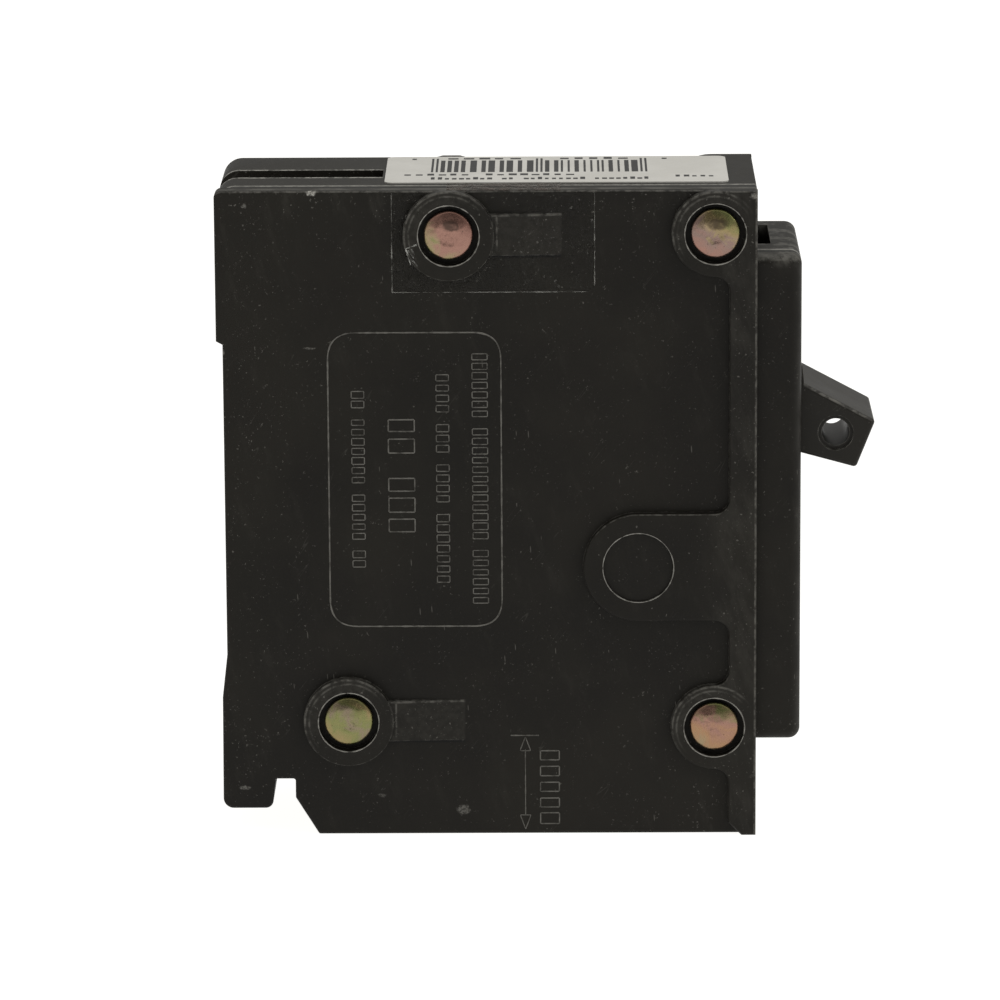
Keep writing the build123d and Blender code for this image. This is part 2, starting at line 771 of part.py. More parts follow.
with BuildPart() as magnet_yoke:
    with BuildSketch(Plane.YZ.offset(front - 42.0)):
        with BuildLine():
            Polyline(
                (-yoke_out, yoke_low), (yoke_out, yoke_low), (yoke_out, yoke_high), (yoke_in, yoke_high),
                (yoke_in, yoke_low + plate_thickness), (-yoke_in, yoke_low + plate_thickness),
                (-yoke_in, yoke_high), (-yoke_out, yoke_high), close=True,
            )
        make_face()
    extrude(amount=12.0)
    fillet(magnet_yoke.edges().filter_by(Axis.X).group_by(Axis.Z)[0], 0.8)
save(magnet_yoke.part, "magnet_yoke")

# ----------------------------------------------------- flexible copper braid
braid_y = 2.35
braid_r = 1.1
braid_arm_setback = 28.4
braid_low_setback = 19.0
ferrule_height = 1.2
arm_under = arm_origin[1] + (arm_x[2] * 17.0) - arm_thickness / 2 - 0.15

with BuildPart() as flexible_shunt:
    with BuildLine():
        route = FilletPolyline(
            (front - braid_arm_setback, braid_y, arm_under),
            (front - braid_arm_setback, braid_y, 46.5),
            (front - braid_low_setback, braid_y, 38.0),
            (front - braid_low_setback, braid_y, bimetal_top),
            radius=3.4,
        )
    with BuildSketch(Plane(origin=route @ 0, z_dir=route % 0)):
        Circle(braid_r)
    sweep(path=route)
    with BuildSketch(Plane.XY.offset(bimetal_top)):
        with Locations((front - braid_low_setback, braid_y)):
            RectangleRounded(3.6, 2 * braid_r + 0.1, 0.5)
    extrude(amount=ferrule_height)
save(flexible_shunt.part, "flexible_shunt")

# ------------------------------------------------------- load strap, terminal
strap_mid = terminal_setback + strap_thickness / 2
return_run_z = 20.0

with BuildPart() as load_strap:
    under_bimetal = bimetal_top - bimetal_thickness - strap_thickness / 2
    with BuildSketch(side(5.0)):
        add(band(
            [
                at(46.8, under_bimetal), at(55.2, under_bimetal), at(55.2, return_run_z),
                at(strap_mid, return_run_z), at(strap_mid, 2.4),
            ],
            strap_thickness, 1.6,
        ))
    extrude(amount=10.0)
    with BuildSketch(Plane.YZ.offset(front - terminal_setback - 4.2)):
        with Locations((0, screw_z)):
            Circle(3.6)
    extrude(amount=3.6)
    with BuildSketch(Plane.YZ.offset(front - terminal_setback - 5)):
        with Locations((0, screw_z)):
            Circle(screw_shank_r + 0.07)
    extrude(amount=6, mode=Mode.SUBTRACT)
save(load_strap.part, "load_strap")

with BuildPart() as terminal_screw:
    head_top = front - screw_head_setback
    with BuildSketch(Plane.YZ.offset(head_top - screw_head_height)):
        with Locations((0, screw_z)):
            Circle(screw_head_r)
    extrude(amount=screw_head_height)
    fillet(terminal_screw.edges().sort_by(Axis.X)[-1], 0.4)
    with BuildSketch(Plane.YZ.offset(front - screw_end_setback)):
        with Locations((0, screw_z)):
            Circle(screw_shank_r)
    extrude(amount=screw_end_setback - screw_head_setback - screw_head_height + 0.1)
    chamfer(terminal_screw.edges().sort_by(Axis.X)[0], 0.6)
    with BuildSketch(Plane.YZ.offset(head_top - 1.6)):
        with Locations((0, screw_z)):
            Rectangle(1.1, 2 * screw_head_r + 1)
            Rectangle(2.9, 2.9)
    extrude(amount=2, mode=Mode.SUBTRACT)
save(terminal_screw.part, "terminal_screw")

with BuildPart() as pressure_plate:
    plate_front = front - screw_head_setback - screw_head_height - 0.05
    with BuildSketch(Plane.YZ.offset(plate_front - 1.5)):
        with Locations((0, 5.45)):
            RectangleRounded(14.4, 6.4, 0.8)
        with Locations((0, screw_z)):
            Circle(screw_shank_r + 0.07, mode=Mode.SUBTRACT)
    extrude(amount=1.5)
save(pressure_plate.part, "pressure_plate")

# ------------------------------------------------------------ label and seal
label_setbacks = (3.15, 42.7)
label_y = (-6.9, 10.4)
label_thickness = 0.15

with BuildPart() as rating_label:
    with BuildSketch(Plane.XY.offset(case_height)):
        with Locations((front - sum(label_setbacks) / 2, sum(label_y) / 2)):
            RectangleRounded(label_setbacks[1] - label_setbacks[0], label_y[1] - label_y[0], 1.0)
    extrude(amount=label_thickness)
save(rating_label.part, "rating_label")

seal_setbacks = (18.6, 41.8)
seal_low = 64.4
seal_flap = (22.5, 35.5)
film = 0.08
seal_clear = 0.08      # film cut clear of the pad and tab

with BuildPart() as clear_seal:
    with BuildSketch(side(-side_face)):
        with BuildLine():
            seal_high = case_height - edge_round
            Polyline(
                at(seal_setbacks[0], seal_low), at(seal_setbacks[1], seal_low),
                at(seal_setbacks[1], seal_high), at(seal_flap[1], seal_high),
                at(seal_flap[1], case_height + film), at(seal_flap[0], case_height + film),
                at(seal_flap[0], seal_high), at(seal_setbacks[0], seal_high), close=True,
            )
        make_face()
        with Locations(at(*rivet_line_back)):
            Circle(back_pad_r + seal_clear, mode=Mode.SUBTRACT)
        tab_length = tabs[0][1]
        with Locations(at(rivet_line_back[0] - tab_length / 2, rivet_line_back[1])):
            Rectangle(tab_length + seal_clear, tab_width + 2 * seal_clear, mode=Mode.SUBTRACT)
    extrude(amount=film)
    flap_y = (-side_face - film, label_y[0] - 0.1)
    with BuildSketch(Plane.XY.offset(case_height)):
        with Locations((front - sum(seal_flap) / 2, sum(flap_y) / 2)):
            Rectangle(seal_flap[1] - seal_flap[0], flap_y[1] - flap_y[0])
    extrude(amount=film)
save(clear_seal.part, "clear_seal")
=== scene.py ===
import math
import random

import bpy
from mathutils import Matrix, Vector, noise


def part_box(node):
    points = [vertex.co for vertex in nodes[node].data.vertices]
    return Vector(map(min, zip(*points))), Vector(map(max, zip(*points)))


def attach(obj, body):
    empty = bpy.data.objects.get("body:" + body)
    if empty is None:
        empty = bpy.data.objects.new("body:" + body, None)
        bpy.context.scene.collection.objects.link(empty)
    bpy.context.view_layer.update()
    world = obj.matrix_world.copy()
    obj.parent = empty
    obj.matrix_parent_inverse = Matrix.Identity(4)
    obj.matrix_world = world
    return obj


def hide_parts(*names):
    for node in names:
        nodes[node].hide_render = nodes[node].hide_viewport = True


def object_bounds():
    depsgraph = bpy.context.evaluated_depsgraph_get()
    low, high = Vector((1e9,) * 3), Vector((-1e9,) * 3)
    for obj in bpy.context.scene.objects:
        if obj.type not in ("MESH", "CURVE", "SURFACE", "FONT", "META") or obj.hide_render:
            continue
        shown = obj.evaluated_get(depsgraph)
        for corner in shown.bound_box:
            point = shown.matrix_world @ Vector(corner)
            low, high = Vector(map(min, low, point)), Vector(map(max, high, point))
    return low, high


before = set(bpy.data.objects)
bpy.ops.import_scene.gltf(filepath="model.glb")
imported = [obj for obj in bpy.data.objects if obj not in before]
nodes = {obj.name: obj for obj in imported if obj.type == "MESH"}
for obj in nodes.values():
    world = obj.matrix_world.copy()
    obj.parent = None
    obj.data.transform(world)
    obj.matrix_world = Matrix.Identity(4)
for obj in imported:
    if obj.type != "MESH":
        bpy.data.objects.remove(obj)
cad_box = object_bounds()

# ------------------------------------------------------------------ places
# Everything below is in millimetres of the row frame; MM turns it into metres.
MM = 0.001
LABEL_NEAR_FRONT = 3.15      # the label's edge behind the front face
PAD_HEIGHT = 1.1             # raised pads above the broad side
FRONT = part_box("rating_label")[1].x / MM + LABEL_NEAR_FRONT
PAD_Y = cad_box[0].y / MM
SIDE_Y = PAD_Y + PAD_HEIGHT
TOP_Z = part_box("cover_shell")[1].z / MM
LABEL_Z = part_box("rating_label")[1].z / MM
PARTING_Y = -8.9

# Rivets as (setback behind the front face, height).
RIVETS = {
    "rivet_line_back": (35.3, 71.1),
    "rivet_line_front": (4.8, 71.2),
    "rivet_load_front": (4.85, 13.0),
    "rivet_load_back": (47.3, 13.75),
}
WELL_R = 3.52
KNOCKOUT = (13.65, 32.1)
KNOCKOUT_R = 4.1
PAD_R = {
    "rivet_line_back": 5.2, "rivet_line_front": 5.0,
    "rivet_load_front": 5.0, "rivet_load_back": 5.2,
}
# Ramped tabs in front of the two back rivets, out to this far from the rivet.
TAB_REACH = {"rivet_line_back": 12.9, "rivet_load_back": 13.5}
TAB_HALF, TAB_RISE = 2.375, 1.0
SLOT_HALF = 2.3              # stab slot in the line end
SLOT_FRONT = 43.0            # its front end's setback
STRIP_BACK = 8.0             # raised strip behind the front edge, rubbed along its front


def place(setback, z, y=SIDE_Y):
    """A point in millimetres from its setback behind the front face."""
    return Vector((FRONT - setback, y, z))


# --------------------------------------------------------------- shader kit
class Paint:
    """A material, with its node graph written as arithmetic on millimetre places."""

    def __init__(self, name, **settings):
        self.material = bpy.data.materials.new(name)
        self.material.use_nodes = True
        self.tree = self.material.node_tree
        self.bsdf = self.tree.nodes["Principled BSDF"]
        coordinates = self.node("TexCoord").outputs["Object"]
        self.mm = self.vector("SCALE", coordinates, Scale=1 / MM)
        self.set(**settings)

    def node(self, kind, inputs=None, **properties):
        made = self.tree.nodes.new("ShaderNode" + kind)
        for key, value in properties.items():
            setattr(made, key, value)
        for key, value in (inputs or {}).items():
            self.feed(made.inputs[key], value)
        return made

    def feed(self, socket, value):
        if isinstance(value, bpy.types.NodeSocket):
            self.tree.links.new(value, socket)
        else:
            socket.default_value = value

    def set(self, **settings):
        """Feeds the main shader: base_color=..., roughness=..., and so on."""
        names = {"ior": "IOR", "specular": "Specular IOR Level"}
        for key, value in settings.items():
            self.feed(self.bsdf.inputs[names.get(key, key.replace("_", " ").title())], value)

    def math(self, operation, a, b=0.0, clamp=False):
        return self.node("Math", {0: a, 1: b}, operation=operation, use_clamp=clamp).outputs[0]

    def vector(self, operation, a, *others, **named):
        inputs = {0: a, **dict(enumerate(others, 1)), **named}
        made = self.node("VectorMath", inputs, operation=operation)
        return made.outputs["Value" if operation in ("LENGTH", "DOT_PRODUCT") else "Vector"]

    def split(self, vector):
        return self.node("SeparateXYZ", {0: vector}).outputs

    def noise(self, scale, detail=2.0, roughness=0.5, at=None, distortion=0.0):
        inputs = {"Vector": at or self.mm, "Scale": scale, "Detail": detail,
                  "Roughness": roughness, "Distortion": distortion}
        return self.node("TexNoise", inputs).outputs["Fac"]

    def turned(self, angles, scale, offset=(0, 0, 0)):
        """The place turned by angles in degrees, then stretched."""
        turn = self.node("Mapping", {"Vector": self.mm, "Location": offset,
                                     "Rotation": [math.radians(a) for a in angles]}).outputs[0]
        return self.vector("MULTIPLY", turn, scale)

    def step(self, value, low, high, to_low=0.0, to_high=1.0):
        inputs = {"Value": value, "From Min": low, "From Max": high,
                  "To Min": to_low, "To Max": to_high}
        return self.node("MapRange", inputs, interpolation_type="SMOOTHSTEP").outputs[0]

    def line(self, value, centre, half):
        """1 where value is within half of centre, falling off to 0."""
        off = self.math("ABSOLUTE", self.math("SUBTRACT", value, centre))
        return self.step(off, 0.35 * half, half, 1.0, 0.0)

    def mix(self, share, a, b):
        made = self.node("Mix", {0: share, 6: a, 7: b}, data_type="RGBA")
        return made.outputs[2]

    def product(self, *values):
        made = values[0]
        for value in values[1:]:
            made = self.math("MULTIPLY", made, value)
        return made

    def within(self, value, low, high, soft=0.15):
        """1 between low and high, with soft ends."""
        return self.product(
            self.step(value, low - soft, low + soft),
            self.step(value, high + soft, high - soft),
        )

    def most(self, *values):
        made = values[0]
        for value in values[1:]:
            made = self.math("MAXIMUM", made, value)
        return made

    def specks(self, scale, radius, share, at=None):
        """Small marks of up to radius, in the given share of cells."""
        made = self.node("TexVoronoi", {"Vector": at or self.mm, "Scale": scale})
        chance = self.split(made.outputs["Color"])
        size = self.math("MULTIPLY", chance[1], radius * scale)
        past = self.math("SUBTRACT", made.outputs["Distance"], size)
        inside = self.step(past, -0.03, 0.0, 1.0, 0.0)
        kept = self.math("LESS_THAN", chance[0], share)
        return self.product(inside, kept)

    def ramp(self, value, stops):
        made = self.node("ValToRGB", {"Fac": value})
        elements = made.color_ramp.elements
        while len(elements) < len(stops):
            elements.new(0.5)
        for element, (position, colour) in zip(elements, stops):
            element.position = position
            element.color = (*colour, 1)
        return made.outputs["Color"]

    def bump(self, height, depth, strength=1.0, normal=None):
        """Normal from a height of 0 to 1, depth millimetres deep."""
        inputs = {"Height": height, "Distance": depth * MM, "Strength": strength}
        if normal is not None:
            inputs["Normal"] = normal
        return self.node("Bump", inputs).outputs[0]

    def edges(self, radius):
        """1 on outer and inner edges within radius, 0 on open faces."""
        rounded = self.node("Bevel", {"Radius": radius * MM}, samples=6).outputs[0]
        true = self.node("NewGeometry").outputs["Normal"]
        return self.math("SUBTRACT", 1.0, self.vector("DOT_PRODUCT", rounded, true))


def rgb(r, g, b):
    return (r, g, b, 1.0)


# ----------------------------------------------------- black moulded phenolic
# The near-black also paints a shadow under the tabs; the scuff grey also paints highlights on
# upward-facing rounded edges and the pads' upper rims; the rubbed grey also paints the pads
# lighter on their lit upper left and on the tabs' tilted faces.
SEAM_AND_SHADOW_BLACK = rgb(0.002, 0.002, 0.002)
CASE_DARK = rgb(0.0052, 0.0044, 0.0030)
CASE_BROWN = rgb(0.0105, 0.0092, 0.0066)
SCUFF_AND_HIGHLIGHT = rgb(0.135, 0.130, 0.116)
RUBBED_AND_LIT = rgb(0.050, 0.047, 0.040)
DUST = rgb(0.115, 0.110, 0.098)
CHIP = rgb(0.34, 0.33, 0.30)


def rivet_pad_marks(p, patchy):
    """Rubbed pads and tabs, painted lighter on their lit upper left and on the tilted tab faces;
    painted highlight arcs and lines on their upper edges; a painted shadow under the tabs.
    """
    rubbed, light, dark = 0.0, 0.0, 0.0
    on_cover = p.step(p.split(p.mm)[1], PARTING_Y - 0.6, PARTING_Y - 1.4)
    for name, (setback, z) in RIVETS.items():
        local = p.vector("SUBTRACT", p.mm, tuple(place(setback, z, 0)))
        local = p.vector("MULTIPLY", local, (1, 0, 1))
        x, _, up = p.split(local)
        out = p.vector("LENGTH", local)
        pad_r = PAD_R[name]
        # corner is 1 towards the upper left, the lit side: it weights the painted lightening and
        # the painted highlight arcs
        corner = p.step(p.math("SUBTRACT", p.product(up, 0.8), p.product(x, 0.6)), -1.0, 3.4)
        spread = p.step(corner, 0.0, 1.0, 0.15, 0.9)
        rubbed = p.most(p.product(p.within(out, WELL_R + 0.1, pad_r), spread), rubbed)
        outer, inner = p.line(out, pad_r - 0.12, 0.17), p.line(out, pad_r - 0.62, 0.15)
        arcs = p.most(outer, p.product(inner, 0.7))
        light = p.most(p.product(arcs, corner), light)
        if name in TAB_REACH:
            along = p.within(x, pad_r - 0.3, TAB_REACH[name], 0.2)
            # each tab is rubbed and painted lighter on its tilted face, with painted highlight
            # lines along its top edge and at its root
            rubbed = p.most(p.product(along, p.within(up, -TAB_HALF, TAB_HALF), 0.75), rubbed)
            light = p.most(p.product(along, p.line(up, TAB_HALF - 0.08, 0.22), 0.9), light)
            root = p.line(x, pad_r + 0.32, 0.15)
            root = p.product(root, p.within(up, -TAB_HALF + 0.5, TAB_HALF - 0.2))
            light = p.most(root, light)
            # painted shadow along each tab's lower edge
            dark = p.most(p.product(along, p.line(up, -TAB_HALF - 0.12, 0.3)), dark)
    return [p.product(mask, on_cover) for mask in (rubbed, p.product(light, patchy), dark)]


def phenolic(
        name, edge_wear_and_highlight=1.0, seed=(0, 0, 0), case=True, nicks=(), specular=0.17, gloss=0.5, dusty=1.0):
    """Slightly scuffed black moulding: cloudy tone, fine grain, dust, strokes and rubbed edges,
    with a painted highlight on upward-facing rounded edges and, on the case, painted highlights
    and shadows at the rivet pads.
    """
    p = Paint(name, specular=specular)
    x, y, z = p.split(p.mm)
    shifted = p.vector("ADD", p.mm, seed)
    wander = p.node("TexNoise", {"Vector": p.mm, "Scale": 3.1, "Detail": 2.0}).outputs["Color"]
    ragged = p.vector("MULTIPLY_ADD", wander, (0.5, 0.5, 0.5), shifted)
    cloud = p.noise(0.055, 4.0, 0.6, at=shifted)
    grain = p.noise(4.5, 3.0, 0.6, at=shifted)
    patch = p.noise(0.35, 3.0, 0.6, at=shifted)
    chatter = p.noise(1.3, 4.0, 0.65, at=shifted)
    broken = p.step(chatter, 0.38, 0.62, 0.10, 0.85)
    colour = p.mix(p.step(cloud, 0.35, 0.68), CASE_DARK, CASE_BROWN)
    colour = p.mix(p.product(p.step(grain, 0.42, 0.7), 0.32), colour, CASE_BROWN)

    busy = 0.3
    if case:
        raised = p.step(p.math("ABSOLUTE", y), -SIDE_Y + 0.85, -SIDE_Y + 1.0)
        strip = p.product(raised, p.step(x, FRONT - STRIP_BACK, FRONT - 2.5))
        back_edge = p.step(x, FRONT - 52.0, FRONT - 58.5)
        line_end = p.step(z, TOP_Z - 4.5, TOP_Z - 0.5)
        foot = p.product(p.step(z, 9.0, 1.0), p.step(x, FRONT - 16.0, FRONT - 3.0))
        # pad marks: rub painted lighter on the lit side, painted highlights, painted shadow
        pads, pad_highlight_painted, pad_shadow_painted = rivet_pad_marks(p, broken)
        escutcheon_top = p.product(p.step(x, FRONT, FRONT + 0.4), p.step(z, 66.8, 68.2))
        handled = p.most(
            strip, line_end, foot, pads, escutcheon_top, p.product(back_edge, 0.3),
        )
        busy = p.math("ADD", busy, p.product(0.7, handled))
    crowd = p.math("MULTIPLY", busy, p.step(patch, 0.36, 0.66, 0.3, 1.6))
    share = p.math("MULTIPLY", crowd, 0.62 * dusty)
    fleck = p.step(p.noise(3.2, 3.0, 0.65, at=shifted), 0.64, 0.71)
    dust = p.most(
        p.product(p.specks(1.15, 0.13, share, at=ragged), 0.62),
        p.product(p.specks(2.4, 0.085, share, at=ragged), 0.5),
        p.product(fleck, p.step(crowd, 0.08, 0.6), 0.8 * dusty),
    )
    upright = p.turned((0, 4, 0), (1.5, 1.5, 0.20), seed)
    slanted = p.turned((0, 58, 0), (1.3, 1.3, 0.12), seed)
    strokes = p.most(
        p.product(p.specks(1.0, 0.11, share, at=upright), 0.5),
        p.product(p.specks(0.8, 0.09, share, at=slanted), 0.4),
    )
    hair = p.noise(1.0, 0.0, 0.5, at=p.turned((0, -37, 0), (0.9, 0.9, 0.035), seed))
    hairs = p.product(p.line(hair, 0.5, 0.006), p.step(patch, 0.52, 0.7), 0.16)
    smear = p.noise(1.0, 5.0, 0.7, at=p.turned((0, 15, 0), (0.5, 0.5, 0.16), seed))
    rub = p.product(p.step(smear, 0.52, 0.78), busy, 0.34 * dusty)
    if case:
        # the pads' rub, painted lighter towards the upper left and on the tilted tab faces, where
        # the light falls
        rub = p.most(rub, p.product(pads, p.step(chatter, 0.3, 0.7, 0.10, 0.38)))
        rub = p.most(rub, p.product(strip, p.step(smear, 0.4, 0.7, 0.05, 0.32)))

    sharp = p.step(p.edges(0.22), 0.03, 0.25)
    _, across, upward = p.split(p.node("NewGeometry").outputs["Normal"])
    facing = p.math("ABSOLUTE", across)
    # Painted highlight: rounded edges whose normals face partly up are painted lighter, as where
    # the light from above falls on them.
    upward_round_highlight = p.product(p.within(facing, 0.35, 0.955, 0.03), p.step(upward, 0.15, 0.5))
    # worn holds real wear on sharp edges together with the painted highlight on upward-facing
    # rounds.
    worn = p.product(p.most(sharp, p.product(upward_round_highlight, 0.7)), broken, edge_wear_and_highlight)
    if case:
        on_side = p.step(y, SIDE_Y + 0.35, SIDE_Y + 0.15)
        front_line = p.product(p.line(x, FRONT - 0.14, 0.17), on_side, broken, 0.8)
        # adds the pads' and tabs' painted highlights
        worn = p.most(worn, front_line, p.product(pad_highlight_painted, 0.8))
        # painted shadow under the tabs' lower edges
        colour = p.mix(p.product(pad_shadow_painted, 0.8), colour, SEAM_AND_SHADOW_BLACK)
        smudge = p.product(escutcheon_top, p.step(smear, 0.47, 0.62), 0.5)
        colour = p.mix(smudge, colour, SCUFF_AND_HIGHLIGHT)
    # rubs, including the pads painted lighter on their lit side
    colour = p.mix(rub, colour, RUBBED_AND_LIT)
    colour = p.mix(hairs, colour, SCUFF_AND_HIGHLIGHT)
    # edge wear and painted highlights, laid on in the scuff grey
    colour = p.mix(p.product(worn, 0.8), colour, SCUFF_AND_HIGHLIGHT)
    colour = p.mix(p.most(dust, strokes), colour, DUST)
    crumbs = p.step(p.noise(4.2, 3.0, 0.7), 0.42, 0.56, 0.3, 1.0)
    for setback, height, y_place, long, tall, strength in nicks:
        centre = place(setback, height, y_place)
        off = p.vector("SUBTRACT", p.mm, tuple(centre))
        off = p.vector("MULTIPLY", off, (1 / long, 1 / tall, 1 / tall))
        spread = p.math("ADD", p.vector("LENGTH", off), p.product(p.noise(2.4, 3.0), 1.4))
        colour = p.mix(p.product(p.step(spread, 1.25, 1.7, strength, 0.0), crumbs), colour, CHIP)
    if case:
        seam = p.line(y, PARTING_Y, 0.42)
        ends = p.step(upward, 0.2, 0.6, 0.22, 1.0)
        lip = p.product(p.line(y, PARTING_Y + 0.85, 0.6), p.step(chatter, 0.34, 0.6, 0.35, 0.9))
        ridge = p.product(p.line(y, PARTING_Y - 1.35, 0.8), p.step(patch, 0.36, 0.6, 0.1, 0.5))
        colour = p.mix(p.product(ridge, ends, 0.85), colour, SCUFF_AND_HIGHLIGHT)
        colour = p.mix(p.product(lip, ends, 0.55), colour, CHIP)
        colour = p.mix(p.product(seam, 0.9), colour, SEAM_AND_SHADOW_BLACK)
        behind = p.step(x, FRONT - SLOT_FRONT + 0.2, FRONT - SLOT_FRONT - 0.2)
        slot = p.product(p.line(p.math("ABSOLUTE", y), SLOT_HALF + 0.2, 0.5), behind)
        slot_rub = p.product(slot, p.step(upward, 0.3, 0.8), p.step(chatter, 0.40, 0.58, 0.1, 0.8))
        colour = p.mix(slot_rub, colour, CHIP)
    marks = p.most(dust, strokes, worn, rub)
    shine = p.step(cloud, 0.3, 0.7, gloss - 0.04, gloss + 0.04)
    rough = p.math("ADD", shine, p.product(grain, 0.06))
    p.set(
        base_color=colour,
        roughness=p.math("ADD", rough, p.product(marks, 0.2), clamp=True),
    )
    swell = p.noise(0.5, 2.0, 0.5, at=shifted)
    normal = p.bump(grain, 0.012, 0.55)
    normal = p.bump(swell, 0.05, 0.35, normal)
    p.set(normal=p.bump(p.most(strokes, dust), 0.02, 0.5, normal))
    return p.material


def moulded_line(name, light=0.6):
    """Raised moulded lines, rubbed light along their crests."""
    p = Paint(name, specular=0.17)
    rubbed = p.step(p.noise(0.8, 4.0, 0.7), 0.32, 0.60, 0.25, 1.0)
    fine = p.step(p.noise(5.0, 2.0), 0.3, 0.7)
    colour = p.mix(p.product(rubbed, light, 0.8), CASE_BROWN, CHIP)
    colour = p.mix(p.product(fine, rubbed, 0.3), colour, SCUFF_AND_HIGHLIGHT)
    p.set(base_color=colour, roughness=p.step(rubbed, 0, 1, 0.5, 0.68))
    p.set(normal=p.bump(fine, 0.01, 0.5))
    return p.material


# ------------------------------------------------------------------- metals
def metal(name, colour, second, roughness, grain_along=(0.2, 2.0, 2.0), spots=0.0):
    """Rolled or drawn metal, with a drawn grain, tone drift and light staining."""
    p = Paint(name, metallic=1.0)
    drift = p.noise(0.25, 4.0, 0.6)
    drawn = p.noise(6.0, 3.0, 0.6, at=p.vector("MULTIPLY", p.mm, grain_along))
    stain = p.product(p.step(p.noise(0.7, 5.0, 0.7), 0.55, 0.75), spots)
    base = p.mix(p.step(drift, 0.3, 0.7), colour, second)
    base = p.mix(stain, base, rgb(0.10, 0.08, 0.06))
    rough = p.step(drawn, 0.3, 0.7, roughness - 0.07, roughness + 0.09)
    rough = p.math("ADD", rough, p.product(stain, 0.25))
    p.set(base_color=base, roughness=rough, normal=p.bump(drawn, 0.01, 0.5))
    return p.material


def chromate(name, axis, stops, lean, stain, seed):
    """Yellow zinc chromate on a rivet head: bands of pink, gold and green that drift across it."""
    p = Paint(name, metallic=0.82)
    local = p.vector("SUBTRACT", p.mm, tuple(axis))
    x, _, z = p.split(local)
    across = p.math("ADD", p.product(x, math.cos(lean) / 6.0), p.product(z, math.sin(lean) / 6.0))
    shifted = p.vector("ADD", p.mm, seed)
    drift = p.math("SUBTRACT", p.noise(0.42, 3.0, 0.6, at=shifted, distortion=1.2), 0.5)
    tone = p.math("ADD", p.math("ADD", across, 0.5), p.product(drift, 1.15), clamp=True)
    colour = p.ramp(tone, stops)
    soot = p.noise(0.75, 5.0, 0.75, at=shifted)
    # Painted reflection: a dark spot just above and right of the head's middle, standing for the
    # dark side by the camera mirrored in the dome; stain sets how strong it is.
    off = p.vector("MULTIPLY", p.vector("SUBTRACT", local, (0.25, 0, 1.15)), (0.62, 0, 1.05))
    hub = p.math("ADD", p.vector("LENGTH", off), p.product(soot, 1.2))
    reflection_spot_painted = p.product(p.step(hub, 1.5, 1.05), p.step(soot, 0.32, 0.48, 0.5, 1.0), stain)
    # smudge holds random soot smudges together with that painted dark reflection.
    smudge = p.most(p.product(p.step(soot, 0.58, 0.74), 0.7), reflection_spot_painted)
    colour = p.mix(p.product(smudge, 0.82), colour, rgb(0.035, 0.024, 0.018))
    pits = p.specks(3.2, 0.10, 0.35, at=shifted)
    colour = p.mix(p.product(pits, 0.5), colour, rgb(0.07, 0.045, 0.035))
    fine = p.noise(5.0, 3.0, 0.7, at=shifted)
    outward = p.product(p.vector("LENGTH", local), 2.6)
    ring = p.noise(1.0, 1.0, 0.5, at=p.node("CombineXYZ", {0: outward}).outputs[0])
    p.set(
        base_color=colour,
        roughness=p.math("ADD", p.step(fine, 0.3, 0.75, 0.17, 0.30), p.product(smudge, 0.15)),
        normal=p.bump(ring, 0.015, 0.45, p.bump(fine, 0.010, 0.6)),
    )
    return p.material


def braided(name, colour, second):
    """Woven copper braid."""
    p = Paint(name, metallic=1.0)
    strands = [
        p.node("TexWave", {
            "Vector": p.turned((way * 35, way * 45, 0), (1, 1, 1)),
            "Scale": 2.0, "Distortion": 0.6,
        }).outputs["Fac"]
        for way in (1, -1)
    ]
    weave = p.product(*strands)
    p.set(base_color=p.mix(weave, second, colour), roughness=p.step(weave, 0, 1, 0.55, 0.3))
    p.set(normal=p.bump(weave, 0.08, 0.8))
    return p.material


def fibre(name):
    p = Paint(name, specular=0.3)
    flock = p.noise(3.0, 5.0, 0.7)
    cloud = p.noise(0.3, 3.0)
    p.set(
        base_color=p.mix(p.step(cloud, 0.3, 0.7), rgb(0.18, 0.045, 0.03), rgb(0.26, 0.075, 0.05)),
        roughness=p.step(flock, 0.3, 0.7, 0.6, 0.85), normal=p.bump(flock, 0.03, 0.6),
    )
    return p.material


def paper(name):
    """Satin label stock: slightly warm grey-white, with faint fibres and handling marks."""
    p = Paint(name, specular=0.35)
    fibres = p.noise(7.0, 4.0, 0.7, at=p.vector("MULTIPLY", p.mm, (0.5, 1.0, 1.0)))
    cloud = p.noise(0.16, 4.0, 0.6)
    marks = p.specks(1.2, 0.12, 0.25)
    edge = p.step(p.edges(0.12), 0.05, 0.4)
    colour = p.mix(p.step(cloud, 0.35, 0.7), rgb(0.465, 0.455, 0.425), rgb(0.51, 0.50, 0.47))
    colour = p.mix(p.product(marks, 0.25), colour, rgb(0.35, 0.34, 0.31))
    colour = p.mix(p.product(edge, 0.35), colour, rgb(0.45, 0.44, 0.41))
    p.set(base_color=colour, roughness=p.step(fibres, 0.3, 0.7, 0.42, 0.58))
    p.set(normal=p.bump(fibres, 0.006, 0.5))
    return p.material


def ink(name):
    p = Paint(name, specular=0.3)
    patchy = p.noise(6.0, 4.0, 0.7)
    worn = p.step(patchy, 0.45, 0.75)
    p.set(base_color=p.mix(worn, rgb(0.018, 0.018, 0.019), rgb(0.05, 0.05, 0.05)))
    p.set(roughness=p.step(patchy, 0.3, 0.7, 0.5, 0.65), normal=p.bump(patchy, 0.003, 0.4))
    return p.material


